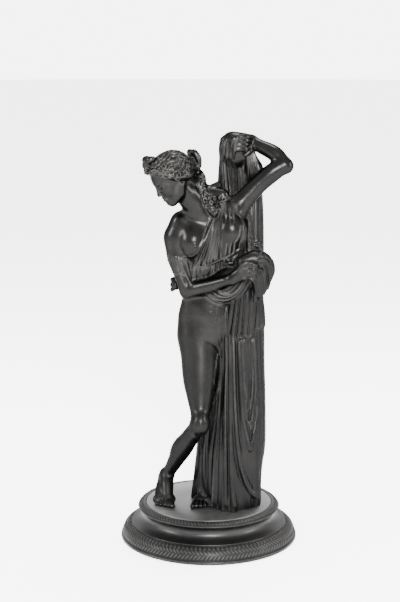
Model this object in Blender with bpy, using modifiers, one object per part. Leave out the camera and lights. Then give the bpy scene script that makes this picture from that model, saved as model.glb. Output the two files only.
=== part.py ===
# A bronze draped woman on a round moulded plinth, a table piece about 41 cm high.
# Two pieces: the figure, cast in one with its cloth and the thin round ground under its feet,
# and the turned plinth whose shallow recess takes that ground.
# Metres, +Z up, seen from -Y; the origin is in the middle of the plinth's underside.
import math

import bpy
import numpy as np

# Sizes of the figure
figureHeight = 0.3672        # from the ground under the feet to the top of the raised arm
groundMargin = 0.0085        # free ring of ground round the hem
groundThickness = 0.004      # the thin round ground
groundEdge = 0.0005          # its softened edge
# Sizes of the plinth, from the recess outwards and from the floor up
seatGap = 0.0003             # clearance between the ground and its recess
recessDepth = 0.0042
ringWidth = 0.0080           # top ring outside the recess
ringHeight = 0.0057
coveDepth = 0.0064           # how far the hollow moulding goes in under the ring
coveHeight = 0.0134
stepWidth = 0.0124           # from the hollow's deepest line out to the small step
stepHeight = 0.0016
roundWidth = 0.0100          # the quarter-round over the foot
roundHeight = 0.0116
footWidth = 0.0012           # plain band at the very bottom
footHeight = 0.0030
plinthSides = 56              # flat sides of the turned plinth
figureTriangles = 5960       # facets kept of the modelled form
clayStep = 1.6               # fineness of the modelled form, in the figure's own millimetres
formHeight = 367.2           # the height that the pose below is written for
hemReach = 54.0              # how far the hem reaches from the axis, in the same millimetres

share = figureHeight / formHeight
groundRadius = hemReach * share + groundMargin
recessRadius = groundRadius + seatGap
ringRadius = recessRadius + ringWidth
coveRadius = ringRadius - coveDepth
stepRadius = coveRadius + stepWidth
roundRadius = stepRadius + roundWidth
footRadius = roundRadius + footWidth
stepTop = footHeight + roundHeight + stepHeight
plinthHeight = stepTop + coveHeight + ringHeight
recessFloor = plinthHeight - recessDepth
groundTop = recessFloor + seatGap + groundThickness

for thing in list(bpy.data.objects):
    bpy.data.objects.remove(thing, do_unlink=True)

statuette = bpy.data.collections.new("bronze_statuette")
cutters = bpy.data.collections.new("cutters")
for group in (statuette, cutters):
    bpy.context.scene.collection.children.link(group)


def vec(*a):
    return np.array(a, float)


def unit(v):
    v = np.asarray(v, float)
    return v / np.linalg.norm(v)


def spline(points, n):
    P = np.asarray(points, float)
    P = np.vstack([2 * P[0] - P[1], P, 2 * P[-1] - P[-2]])
    out = []
    for s in np.linspace(0, len(P) - 3 - 1e-6, n):
        i = int(s)
        t = s - i
        a, b, c, d = P[i:i + 4]
        bend, twist = 2 * a - 5 * b + 4 * c - d, 3 * b - a - 3 * c + d
        out.append(0.5 * (2 * b + (c - a) * t + bend * t * t + twist * t ** 3))
    return np.array(out)


class Clay:
    # Signed distances in millimetres on a regular grid.
    def __init__(self, low, high, step, far=14.0):
        self.step = step
        self.low = np.asarray(low, float)
        self.shape = tuple(int(math.ceil((h - l) / step)) + 1 for l, h in zip(low, high))
        self.axes = [np.float32(l + step * np.arange(n)) for l, n in zip(low, self.shape)]
        self.field = np.full(self.shape, far, np.float32)

    def window(self, low, high):
        spans = []
        for i in range(3):
            a = min(max(0, int((low[i] - self.low[i]) / self.step)), self.shape[i] - 1)
            b = min(self.shape[i], int((high[i] - self.low[i]) / self.step) + 2)
            spans.append(slice(a, max(a + 1, b)))
        x, y, z = (self.axes[i][spans[i]] for i in range(3))
        return tuple(spans), x[:, None, None], y[None, :, None], z[None, None, :]

    def merge(self, spans, d, blend, cut=False):
        f = self.field[spans]
        if cut:
            d = -d
            if blend > 0:
                h = np.maximum(blend - np.abs(f - d), 0)
                self.field[spans] = np.maximum(f, d) + h * h * (0.25 / blend)
            else:
                self.field[spans] = np.maximum(f, d)
        elif blend > 0:
            h = np.maximum(blend - np.abs(f - d), 0)
            self.field[spans] = np.minimum(f, d) - h * h * (0.25 / blend)
        else:
            self.field[spans] = np.minimum(f, d)

    def chain(self, pts, radii, blend=1.5, cut=False, flat=None, smooth=0):
        # A bent bar through points; flat = (direction, factor) squashes it.
        P = np.array([np.asarray(p, float) for p in pts])
        R = np.array(radii, float) if hasattr(radii, "__len__") else np.full(len(P), float(radii))
        if len(R) != len(P):
            R = np.interp(np.linspace(0, 1, len(P)), np.linspace(0, 1, len(R)), R)
        if smooth:
            Q = spline(np.hstack([P, R[:, None]]), smooth)
            P, R = Q[:, :3], np.maximum(Q[:, 3], 0.05)
        m = R.max() + blend + 2 * self.step + 1.0
        spans, x, y, z = self.window(P.min(0) - m, P.max(0) + m)
        temp = np.full((x.shape[0], y.shape[1], z.shape[2]), 99.0, np.float32)
        if flat is not None:
            u, k = unit(flat[0]), flat[1]
        for a, b, ra, rb in zip(P[:-1], P[1:], R[:-1], R[1:]):
            mm = max(ra, rb) + blend + 2 * self.step + 1.0
            lo, hi = np.minimum(a, b) - mm, np.maximum(a, b) + mm
            sub = []
            for i in range(3):
                base = self.low[i] + spans[i].start * self.step
                s0 = max(0, int((lo[i] - base) / self.step))
                s1 = min(temp.shape[i], int((hi[i] - base) / self.step) + 2)
                sub.append(slice(s0, s1))
            if any(s.stop <= s.start for s in sub):
                continue
            X, Y, Z = x[sub[0]], y[:, sub[1]], z[:, :, sub[2]]
            d = b - a
            n = float(d @ d) + 1e-9
            px, py, pz = X - a[0], Y - a[1], Z - a[2]
            h = (px * d[0] + py * d[1] + pz * d[2]) / n
            if flat is not None:
                t = np.clip(h, 0, 1)
                qx, qy, qz = px - t * d[0], py - t * d[1], pz - t * d[2]
                s = (qx * u[0] + qy * u[1] + qz * u[2]) * (k - 1.0)
                qx, qy, qz = qx + s * u[0], qy + s * u[1], qz + s * u[2]
                dist = (np.sqrt(qx * qx + qy * qy + qz * qz) - (ra + (rb - ra) * t)) / math.sqrt(k)
            else:
                off = np.maximum(px * px + py * py + pz * pz - h * h * n, 0)
                tilt = (ra - rb) / math.sqrt(max(n - (ra - rb) ** 2, 0.05 * n) * n)
                t = np.clip(h - np.sqrt(off) * tilt, 0, 1)
                dist = np.sqrt(off + (h - t) ** 2 * n) - (ra + (rb - ra) * t)
            sub = tuple(sub)
            temp[sub] = np.minimum(temp[sub], dist)
        self.merge(spans, temp, blend, cut)

    def limb(self, a, b, ra, rb, blend=2.0, cut=False, flat=None):
        self.chain([a, b], [ra, rb], blend, cut, flat)

    def egg(self, c, r, blend=2.0, axes=None, cut=False):
        c = np.asarray(c, float)
        r = np.asarray(r, float) * np.ones(3)
        A = np.eye(3) if axes is None else np.asarray(axes, float)
        reach = np.sqrt(((A * r[:, None]) ** 2).sum(0)) + blend + 2 * self.step + 1.0
        spans, x, y, z = self.window(c - reach, c + reach)
        px, py, pz = x - c[0], y - c[1], z - c[2]
        k0, k1 = 0, 0
        for i in range(3):
            q = px * A[i, 0] + py * A[i, 1] + pz * A[i, 2]
            k0 = k0 + (q / r[i]) ** 2
            k1 = k1 + (q / r[i] ** 2) ** 2
        k0 = np.sqrt(k0)
        self.merge(spans, k0 * (k0 - 1.0) / (np.sqrt(k1) + 1e-6), blend, cut)

    def surface(self, pts, toward, reach=160.0, start=-90.0):
        # Moves points along a direction to the first place where the clay begins.
        pts = np.asarray(pts, float)
        d = unit(toward)
        t = np.arange(start, reach, self.step)
        q = pts[:, None, :] + t[None, :, None] * d
        idx = np.round((q - self.low) / self.step).astype(int)
        ok = np.all((idx >= 0) & (idx < np.array(self.shape)), axis=-1)
        idx = np.clip(idx, 0, np.array(self.shape) - 1)
        f = np.where(ok, self.field[idx[..., 0], idx[..., 1], idx[..., 2]], 9.0)
        hit = f < 0
        first = np.where(hit.any(1), hit.argmax(1), -1)
        out = []
        for i, k in enumerate(first):
            if k <= 0:
                out.append(None)
                continue
            f0, f1 = f[i, k - 1], f[i, k]
            out.append(pts[i] + d * (t[k - 1] + f0 / (f0 - f1 + 1e-9) * self.step))
        return out

    def lay(self, hits, dirs, radii, blend, sink, cut, jump, calm=2, about=(0, 0, 0)):
        run, rad, push = [], [], []
        for h, u, r in list(zip(hits, dirs, radii)) + [(None, None, 0)]:
            if h is None or (run and np.linalg.norm(run[-1] - h) > jump):
                if len(run) > 2:
                    Q, U = np.array(run) - about, np.array(push)
                    depth = (Q * U).sum(1)
                    side = Q - U * depth[:, None]
                    D = np.pad(depth, calm, mode="edge")
                    depth = sum(D[i:i + len(depth)] for i in range(2 * calm + 1)) / (2 * calm + 1)
                    self.chain(side + U * (depth + sink * np.array(rad))[:, None] + about, rad, blend, cut)
                run, rad, push = [], [], []
            if h is not None:
                run.append(h)
                rad.append(r)
                push.append(u)

    def stroke(self, path, r0, r1=None, toward=(0, 1, 0), blend=0.8, sink=0.0, cut=False, n=14, taper=True,
        start=-90.0, jump=7.0):
        # A ridge or a groove laid on the clay as seen from one side.
        P = np.asarray(path, float)
        if P.shape[1] == 2:
            P = np.stack([P[:, 0], np.zeros(len(P)), P[:, 1]], 1)
        line = spline(P, n)
        hits = self.surface(line, toward, start=start)
        r1 = r0 if r1 is None else r1
        s = np.linspace(0, 1, n)
        rr = r0 + (r1 - r0) * s
        if taper:
            rr = rr * np.clip(np.minimum(s, 1 - s) * 5 + 0.3, 0, 1)
        self.lay(hits, [unit(toward)] * n, rr, blend, sink, cut, jump)

    def around(self, path, radii, axis, blend=1.5, sink=0.2, cut=False, n=30, jump=9.0, rise=0.0, fade=0.0):
        # A ridge or a groove laid round a column. path: (degrees, height); axis: its place in plan.
        line = spline(path, n)
        P, D = [], []
        for a, z in line:
            u = vec(math.cos(math.radians(a)), math.sin(math.radians(a)), 0)
            h = self.surface([vec(axis[0], axis[1], z) + u * 62], -u, reach=60.0, start=0.0)[0]
            P.append(h)
            D.append(u)
        s = np.linspace(0, 1, n)
        R = np.interp(s, np.linspace(0, 1, len(radii)), radii)
        R = R * np.clip(np.minimum(s / max(rise, 1e-6), (1 - s) / max(fade, 1e-6)), 0.2, 1)
        self.lay(P, [-u for u in D], R, blend, sink, cut, jump, 3, vec(axis[0], axis[1], 0))

    def wrap(self, centre, ways, radii, blend=0.6, sink=0.2, cut=False, jump=6.0, reach=40.0):
        # A ridge or a groove laid over a rounded form, along directions from its centre.
        hits = [self.surface([centre + u * reach], -u, reach=reach, start=0.0)[0] for u in ways]
        R = np.interp(np.linspace(0, 1, len(ways)), np.linspace(0, 1, len(radii)), radii)
        self.lay(hits, [-u for u in ways], R, blend, sink, cut, jump, 2, centre)

    def fan(self, top, bottom, count, r0, r1, toward=(0, 1, 0), blend=0.8, sink=0.0, cut=False, seed=3,
        jitter=0.22, n=14, mid=None, start=-90.0, taper=True, vary=0.22):
        # A family of strokes between two edge curves.
        rnd = np.random.default_rng(seed)
        T, B = spline(top, 61), spline(bottom, 61)
        M = spline(mid, 61) if mid is not None else (T + B) / 2
        for k in range(count):
            i = int(round(60 * np.clip((k + 0.5 + rnd.uniform(-jitter, jitter)) / count, 0, 1)))
            f = 1 + rnd.uniform(-vary, vary)
            self.stroke([T[i], M[i], B[i]], r0 * f, r1 * f, toward, blend, sink, cut, n, taper, start)

    def loft(self, levels, folds, blend=2.0, floor=-1e9, ceiling=1e9, hem=None):
        # A column of cloth. levels: (z, axis x, axis y, twelve radii from +X every 30 degrees towards +Y).
        # folds(angle, z) gives the height of the folds over that surface.
        L = sorted(levels, key=lambda v: v[0])
        zs = np.array([v[0] for v in L])
        z0, z1 = max(zs[0], floor), min(zs[-1], ceiling)
        cx = np.array([v[1] for v in L])
        cy = np.array([v[2] for v in L])
        table = np.array([v[3] for v in L], float)
        rmax = table.max() + 8
        spans, x, y, z = self.window((cx.min() - rmax, cy.min() - rmax, z0 - 6),
            (cx.max() + rmax, cy.max() + rmax, z1 + 6))
        zz = np.clip(z.ravel(), zs[0], zs[-1])
        ang = np.linspace(0, 2 * math.pi, 360, endpoint=False)
        # periodic cubic through the twelve radii
        u = ang / (2 * math.pi) * 12
        i = np.floor(u).astype(int)
        t = u - i
        g = lambda k: table[:, (i + k) % 12]
        bend = 2 * g(-1) - 5 * g(0) + 4 * g(1) - g(2)
        twist = 3 * g(0) - g(-1) - 3 * g(1) + g(2)
        fine = 0.5 * (2 * g(0) + (g(1) - g(-1)) * t + bend * t ** 2 + twist * t ** 3)
        # smooth steps between levels
        k = np.clip(np.searchsorted(zs, zz, side="right") - 1, 0, len(zs) - 2)
        s = (zz - zs[k]) / (zs[k + 1] - zs[k])
        def along(v):
            v = np.asarray(v)
            m = np.gradient(v, zs, axis=0)
            h = (zs[k + 1] - zs[k])
            if v.ndim == 2:
                ss, hh = s[:, None], h[:, None]
            else:
                ss, hh = s, h
            return ((2 * ss ** 3 - 3 * ss ** 2 + 1) * v[k] + (ss ** 3 - 2 * ss ** 2 + ss) * hh * m[k]
                    + (-2 * ss ** 3 + 3 * ss ** 2) * v[k + 1] + (ss ** 3 - ss ** 2) * hh * m[k + 1])
        ax, ay, rad = along(cx), along(cy), along(fine)
        A, Z = np.meshgrid(ang, zz)
        rad = rad + folds(A, Z)
        rad = np.maximum(rad, 0.5)
        dr = (np.roll(rad, -1, 1) - np.roll(rad, 1, 1)) / (2 * 2 * math.pi / 360)
        slope = 1 / np.sqrt(1 + np.minimum((dr / np.maximum(rad, 1)) ** 2, 9))
        out = np.empty((x.shape[0], y.shape[1], z.shape[2]), np.float32)
        for n in range(z.shape[2]):
            px, py = x[:, :, 0] - ax[n], y[:, :, 0] - ay[n]
            r = np.sqrt(px * px + py * py)
            a = np.mod(np.arctan2(py, px), 2 * math.pi) * (360 / (2 * math.pi))
            a0 = np.floor(a).astype(int) % 360
            f = a - np.floor(a)
            a1 = (a0 + 1) % 360
            R = rad[n, a0] * (1 - f) + rad[n, a1] * f
            K = slope[n, a0] * (1 - f) + slope[n, a1] * f
            d = (r - R) * K
            lim = max(z0 - z.ravel()[n], z.ravel()[n] - z1)
            if hem is not None:
                H = hem(ang, zz[n])
                hz = H[a0] - z.ravel()[n]
                d = np.maximum(d, hz)
            out[:, :, n] = np.maximum(d, lim)
        self.merge(spans, out, blend)


def surfaceNets(f, low, step):
    s = f < 0
    nx, ny, nz = f.shape
    c = np.zeros((nx - 1, ny - 1, nz - 1), np.uint8)
    for dx in (0, 1):
        for dy in (0, 1):
            for dz in (0, 1):
                c += s[dx:nx - 1 + dx, dy:ny - 1 + dy, dz:nz - 1 + dz]
    cells = np.argwhere((c > 0) & (c < 8))
    index = np.full(c.shape, -1, np.int32)
    index[tuple(cells.T)] = np.arange(len(cells))
    acc = np.zeros((len(cells), 3))
    cnt = np.zeros(len(cells))
    corners = [(a, b, d) for a in (0, 1) for b in (0, 1) for d in (0, 1)]
    vals = {k: f[tuple((cells + k).T)] for k in corners}
    for axis in range(3):
        for k in corners:
            if k[axis] == 1:
                continue
            a, b = vals[k], vals[tuple(k[i] + (i == axis) for i in range(3))]
            cross = (a < 0) != (b < 0)
            p = np.array(k, float)[None, :].repeat(len(cells), 0)
            p[:, axis] += np.where(cross, a / np.where(a == b, 1, a - b), 0)
            acc += p * cross[:, None]
            cnt += cross
    verts = (cells + acc / cnt[:, None]) * step + np.asarray(low)
    quads = []
    for axis in range(3):
        s0, s1 = [slice(None)] * 3, [slice(None)] * 3
        s0[axis], s1[axis] = slice(0, -1), slice(1, None)
        a, b = s[tuple(s0)], s[tuple(s1)]
        e = np.argwhere(a != b)
        o1, o2 = (axis + 1) % 3, (axis + 2) % 3
        e = e[(e[:, o1] > 0) & (e[:, o2] > 0) & (e[:, o1] < f.shape[o1] - 1) & (e[:, o2] < f.shape[o2] - 1)]
        inside = a[tuple(e.T)]

        def cell(d1, d2):
            q = e.copy()
            q[:, o1] -= d1
            q[:, o2] -= d2
            return index[tuple(q.T)]
        q = np.stack([cell(1, 1), cell(0, 1), cell(0, 0), cell(1, 0)], 1)
        quads.append(np.where(inside[:, None], q, q[:, ::-1]))
    return verts, np.vstack(quads)


def joined(bits):
    near = {i: [i ^ 1, i ^ 2, i ^ 4] for i in range(8)}
    todo = set(bits)
    if not todo:
        return 0
    parts = 0
    while todo:
        parts += 1
        stack = [todo.pop()]
        while stack:
            for k in near[stack.pop()]:
                if k in todo:
                    todo.discard(k)
                    stack.append(k)
    return parts


def tidyField(f, rounds=40):
    # fills the corners where the skin would pinch, so it closes everywhere
    pinch = np.zeros(256, bool)
    for m in range(256):
        inside = [i for i in range(8) if m >> i & 1]
        outside = [i for i in range(8) if not m >> i & 1]
        pinch[m] = joined(inside) > 1 or joined(outside) > 1
    corners = [(i & 1, i >> 1 & 1, i >> 2 & 1) for i in range(8)]
    nx, ny, nz = f.shape
    for k in range(rounds):
        s = f < 0
        code = np.zeros((nx - 1, ny - 1, nz - 1), np.uint8)
        for i, (a, b, c) in enumerate(corners):
            code |= s[a:nx - 1 + a, b:ny - 1 + b, c:nz - 1 + c].astype(np.uint8) << i
        bad = np.argwhere(pinch[code])
        if not len(bad):
            break
        vals = np.stack([f[tuple((bad + c).T)] for c in np.array(corners)], 1)
        vals = np.where(vals < 0, 99, vals)
        pick = np.array(corners)[vals.argmin(1)]
        f[tuple((bad + pick).T)] = -0.02
    return k, len(bad)


def biggest(verts, quads):
    lab = np.arange(len(verts))
    a = quads[:, [0, 1, 2, 3]].ravel()
    b = quads[:, [1, 2, 3, 0]].ravel()
    while True:
        m = np.minimum(lab[a], lab[b])
        new = lab.copy()
        np.minimum.at(new, a, m)
        np.minimum.at(new, b, m)
        new = new[new]
        new = new[new]
        if (new == lab).all():
            break
        lab = new
    ids, count = np.unique(lab, return_counts=True)
    keep = lab == ids[count.argmax()]
    index = np.cumsum(keep) - 1
    return verts[keep], index[quads[keep[quads[:, 0]]]]


groundZ = 35.4
j = dict(
    pelvis=vec(3, 4, 208), waist=vec(-1, 3, 246), chest=vec(-4, 3, 292), neck=vec(-6, 1, 330),
    hipR=vec(-13, 0, 201), kneeR=vec(-9.0, -31, 123), ankleR=vec(-42.3, 10, 59), ballR=vec(-44.3, -10,
        39.5),
    hipL=vec(19, 6, 205), kneeL=vec(14, -4, 122), ankleL=vec(3, 14, 50), ballL=vec(-5, -13, 38),
    shoulderR=vec(-31, 0, 303), elbowR=vec(-20.5, -7, 251.8), wristR=vec(21, -32, 266.5), knuckR=vec(35,
        -34, 276.5),
    shoulderL=vec(24, 2, 328), elbowL=vec(73.5, 4, 371.5), wristL=vec(41, 21, 393.5), knuckL=vec(26, 25,
        397),
    head=vec(-35.3, -16, 361.5))


def axesAlong(d, side=(1, 0, 0)):
    w = unit(d)
    u = unit(np.cross(side, w))
    return np.stack([u, np.cross(w, u), w])


def torso(c):
    c.egg(vec(1.5, 4, 211), (30.5, 19, 26), 2)
    c.egg(vec(-12, 12, 197), (16.5, 15.5, 18), 8)
    c.egg(vec(19, 13, 202), (17, 15.5, 18), 8)
    c.egg(vec(3, -5, 226), (21, 14.5, 28), 8)
    c.egg(vec(-5.5, -1, 231), (22.3, 15, 23), 6)
    c.egg(vec(-14, 2, 222), (15.8, 15, 16), 6)
    t = math.radians(8)
    A = [[math.cos(t), 0, math.sin(t)], [0, 1, 0], [-math.sin(t), 0, math.cos(t)]]
    c.egg(j["waist"], (21.5, 15, 27), 10, A)
    c.egg(j["chest"], (25.5, 17, 36), 10, A)
    c.egg(vec(-4, -1, 313), (27, 12.5, 15), 8, A)
    c.limb(j["shoulderR"] + vec(5, 1, 3), j["neck"] + vec(0, 2, -5), 9, 11.5, 8)
    c.limb(j["shoulderL"] + vec(-5, 1, -1), j["neck"] + vec(0, 2, -5), 9, 11.5, 8)
    c.limb(j["shoulderR"] + vec(4, 4, 4), j["neck"] + vec(0, 4, 8), 5.5, 7.5, 8)
    c.limb(j["shoulderL"] + vec(-4, 4, 3), j["neck"] + vec(0, 4, 8), 5.5, 7.5, 8)
    c.egg(vec(-20, 0, 315), (14, 11, 11.5), 6)
    c.egg(vec(-27, -2, 317.5), (10.5, 10, 10.5), 6)
    c.egg(vec(-20, 14, 300), (10, 5, 15), 8)
    c.egg(vec(14, 14, 308), (10, 5, 15), 8)
    # breasts
    c.egg(vec(-15.5, -11.0, 299), (13.0, 14.2, 13.2), 7)
    c.egg(vec(21.5, -11.0, 311), (13.6, 14.8, 13.8), 6)
    c.egg(vec(-13.5, -25.1, 297.8), (1.3, 1.3, 1.3), 1.2)
    # collar bones, faint
    c.chain([vec(-26, -8, 317), vec(-16, -12.5, 321), vec(-8, -13.0, 323)], [1.6, 1.5, 1.4], 6)
    # spine
    c.chain([vec(1, 26, 225), vec(-2, 21.5, 250), vec(-6, 23.5, 285), vec(-6, 21.5, 318)],
        [3.2, 3.4, 3.2, 2], 7, cut=True, smooth=12)
    # navel, and the line between belly and thigh
    c.egg(vec(2, -21.5, 234), (1.3, 2.5, 1.7), 1.5, cut=True)


def legs(c):
    c.chain([vec(-11, 0, 204), vec(-8.4, -4, 185), vec(-8.3, -10, 165), vec(-8.4, -16.5, 149),
        vec(-8.4, -24, 134), vec(-9.0, -30, 122)],
            [19.2, 19.0, 17.2, 13.4, 9.6, 7.8], 8, smooth=24)
    c.limb(j["hipL"], j["kneeL"], 20, 11.5, 9)
    k, a = j["kneeR"], j["ankleR"]
    c.egg(k + vec(0.8, -1.0, 1), (7.4, 9.4, 11), 6)
    back = unit(vec(-0.75, 0.75, -0.1))
    c.chain([k, k + (a - k) * 0.30 + back * 1.5, k + (a - k) * 0.62 + back * 0.9,
        k + (a - k) * 0.88 + back * -0.4, a],
            [7.7, 9.0, 8.4, 6.6, 6.2], 5, smooth=18)
    c.egg(k + (a - k) * 0.46 + back * 4.2, (7.8, 8.4, 14), 6, axesAlong(a - k))
    # shin edge
    front = unit(vec(-0.2, -1, -0.4))
    c.chain([k + (a - k) * 0.15 + front * 6.5, k + (a - k) * 0.5 + front * 5.3,
        k + (a - k) * 0.85 + front * 3.2], [3, 2.6, 2.2], 4)


def arms(c):
    s, e, w = j["shoulderR"], j["elbowR"], j["wristR"]
    c.egg(s + vec(0, 0, 0), (12.4, 12, 14), 6)
    c.chain([s + vec(0, 0, -2), s + (e - s) * 0.35 + vec(-1.8, 0, 0), s + (e - s) * 0.7 + vec(-0.6, 0, 0),
        e], [11.6, 12.0, 9.8, 7.6], 5, smooth=18)
    c.chain([e, e + (w - e) * 0.3 + vec(0, 0, -1.2), e + (w - e) * 0.65 + vec(0, 0, -1.2), w],
        [7.8, 7.6, 6.5, 5.3], 4, smooth=18)
    c.egg(e + vec(-1.5, 3.0, -2.5), (5, 4.5, 5), 4)
    s, e, w = j["shoulderL"], j["elbowL"], j["wristL"]
    c.egg(s + vec(1, 0, 1), (12, 11.5, 12), 6)
    c.chain([s, s + (e - s) * 0.45 + vec(0, 0, 4.4), s + (e - s) * 0.75 + vec(-1, 0, 3.6),
        e + vec(-2, 0, 0)], [10.2, 8.9, 9.2, 8.0], 4, smooth=18)
    c.chain([e, e + (w - e) * 0.35 + vec(1.5, 0, 3.2), e + (w - e) * 0.75 + vec(0, 0, 1.4), w],
        [7.0, 7.7, 6.6, 6.2], 4, smooth=18)
    c.egg(e + vec(2.4, -1, -0.5), (4.4, 4.8, 4.8), 4)


def rightHand(c):
    # Gripping the cloth: palm, four curled fingers and the thumb.
    w, k = j["wristR"], j["knuckR"]
    c.chain([w, (w + k) / 2 + vec(0.5, 0, 0.5), k], [5.6, 6.0, 5.6], 3)
    c.egg((w + k) / 2 + vec(2.0, -1, 0.5), (8.5, 4.2, 6.6), 3, axesAlong(k - w, (0, 1, 0))[[2, 1, 0]])
    a = unit(k - w)
    for i in range(4):
        q = k + vec(0.5, -2.5, 4.2 - i * 3.6) + a * (1.5 - 0.4 * abs(i - 1.2))
        mid = q + vec(6.5 - i * 0.6, -2.2, 0.2 - 0.9 * i)
        tip = mid + vec(2.5, 3.5, -5.0 - 0.2 * i)
        c.chain([q - a * 3, q, mid, tip], [2.7, 2.6 - i * 0.1, 2.35 - i * 0.1, 1.9 - i * 0.08], 0.7,
            smooth=9)
    c.chain([w + vec(5, -3, 5.5), k + vec(-2, -4.5, 6.5), k + vec(5.5, -3.5, 6.8)], [2.8, 2.6, 1.9], 1.2,
        smooth=6)


def leftHand(c, fine=True):
    # Raised over the head, the cloth gathered in a dome under the fingers.
    c.egg(vec(27.2, 21, 385.2), (17.0, 12.5, 17.6), 3)
    c.egg(vec(21.0, 21, 388.0), (9.5, 9, 14.4), 4)
    w = j["wristL"]
    c.chain([w, vec(35, 18, 395.5), vec(32, 14, 394)], [6.2, 6.0, 5.2], 3)
    for i in range(4):
        z = 398.0 - 3.9 * i
        c.chain([vec(41 - 0.6 * i, 15, z - 1.5), vec(36 - 0.5 * i, 8.6, z + 0.8),
            vec(28.5 - 0.3 * i, 6.6, z + 0.6), vec(22.5 + 0.4 * i, 8.2, z - 1.8), vec(22.0 + 0.7 * i, 10.5,
                z - 4.0)],
                [2.4, 2.5, 2.35, 2.1, 1.7], 0.6, smooth=16)
    c.chain([vec(42, 14, 389), vec(39.5, 8.5, 385), vec(35.0, 7.0, 381.5)], [2.6, 2.4, 1.9], 0.9, smooth=8)
    # the gathered edge of the cloth in front of the fingers
    for k in range(4 if fine else 2):
        x = 14.5 + 3.4 * k
        c.stroke([(x + 3.0, 399.5 - 0.8 * (3 - k)), (x + 0.3, 391), (x - 0.8, 378)], 1.5, 1.2, blend=1.0,
            sink=0.1, n=16)


def neck(c):
    c.limb(j["neck"] + vec(1, 0, -6), j["head"] + vec(7, 3, -8), 12, 11, 6)
    c.chain([vec(-15, -10, 350), vec(-10, -12.5, 338), vec(-6, -13, 327)], [3.2, 2.8, 2.2], 5)


headYaw, headPitch, headRoll = math.radians(66), math.radians(30), math.radians(4)


def headFrame():
    f = vec(-math.sin(headYaw) * math.cos(headPitch), -math.cos(headYaw) * math.cos(headPitch),
        -math.sin(headPitch))
    u = unit(vec(0, 0, 1) - f * f[2])
    l = np.cross(f, u) * -1.0
    l = np.cross(u, f)
    r = headRoll
    return j["head"], np.stack([l * math.cos(r) + u * math.sin(r), f, u * math.cos(r) - l * math.sin(r)])


def head(c, fine=True):
    o, M = headFrame()
    P = lambda *p: o + np.asarray(p, float) @ M

    def egg(p, r, blend, cut=False):
        c.egg(P(*p), r, blend, M, cut)
    egg((0, -1.5, 5.5), (15.2, 19.0, 17.4), 3)
    egg((0, 5.5, -4), (12.2, 12.2, 17), 5)
    egg((0, 5.0, -11), (10.2, 10, 9.5), 5)
    egg((0, 12.2, -18.4), (4.4, 3.8, 3.6), 4)
    egg((0, 7.6, 8), (12.2, 9.2, 9), 4)
    for s in (-1, 1):
        c.chain([P(12.0 * s, -1, -7), P(9.8 * s, 4, -14.5), P(3.5 * s, 12, -19.2)], [3.2, 3.2, 3.0], 5)
        egg((7.2 * s, 10.6, -5), (5, 4.4, 5.6), 5)
        c.chain([P(1.6 * s, 16.2, 3.4), P(5.4 * s, 16.1, 4.3), P(9.6 * s, 13.4, 3.4)], [1.2, 1.3, 1.1], 2.5)
        egg((5.8 * s, 17.6, -0.2), (3.6, 2.6, 2.4), 2.2, cut=True)
        egg((5.9 * s, 12.6, -0.4), (3.5, 3.2, 2.9), 0.6)
        c.chain([P(2.9 * s, 14.9, -0.7), P(5.8 * s, 16.3, 1.35), P(9.0 * s, 13.6, -0.5)], [0.45, 0.6, 0.4],
            0.5)
        c.chain([P(3.1 * s, 14.8, -1.1), P(5.8 * s, 15.5, -2.0), P(8.8 * s, 13.5, -0.9)], [0.4, 0.5, 0.4],
            0.7)
        egg((1.9 * s, 17.3, -7.4), (1.5, 1.9, 1.3), 0.9)
        egg((14.2 * s, -2.5, -2.5), (1.8, 3.4, 5), 1.5)
        if fine:
            egg((15.4 * s, -2.2, -2.4), (1.0, 1.9, 3.1), 1.0, cut=True)
    c.chain([P(0, 15.8, 4.5), P(0, 17.6, 0), P(0, 19.7, -6.2)], [1.7, 1.35, 1.7], 2.0)
    egg((0, 19.6, -6.9), (1.7, 1.7, 1.4), 1.0)
    egg((0, 13.5, -12.4), (5.0, 4.0, 4.2), 3)
    for s in (-1, 1):
        c.chain([P(0.5 * s, 17.6, -11.3), P(2.3 * s, 17.0, -11.8), P(4.2 * s, 15.3, -12.6)],
            [0.95, 0.9, 0.4], 0.9)
        c.chain([P(0, 17.2, -14.0), P(2.0 * s, 16.7, -13.9), P(3.9 * s, 15.2, -13.0)], [1.15, 1.0, 0.4],
            0.9)
        c.chain([P(0, 18.4, -12.7), P(2.2 * s, 17.6, -12.7), P(4.4 * s, 15.6, -12.8)], [0.5, 0.45, 0.3],
            0.5, cut=True)


def hairCap(c):
    o, M = headFrame()
    P = lambda *p: o + np.asarray(p, float) @ M
    c.egg(P(0, -3.2, 6.6), (16.6, 20.2, 18.4), 1.0, M)
    c.egg(P(0, 24.5, -11), (12.5, 9.8, 21.5), 1.0, M, cut=True)


def curl(c, centre, out, along, size, thick, turn, start, sunk=0.3):
    # A flat spiral of hair lying on the surface at a point.
    out = unit(out)
    a = unit(along - out * (along @ out))
    b = np.cross(out, a)
    pts = []
    for i in range(9):
        t = i / 8
        q = start + turn * t * 4.6
        r = size * (1 - 0.62 * t)
        pts.append(centre + (a * math.cos(q) + b * math.sin(q)) * r + out * (0.55 * t * thick - sunk))
    c.chain(pts, [thick * 0.7, thick, thick, thick * 0.9], 0.5, smooth=14)


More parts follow.
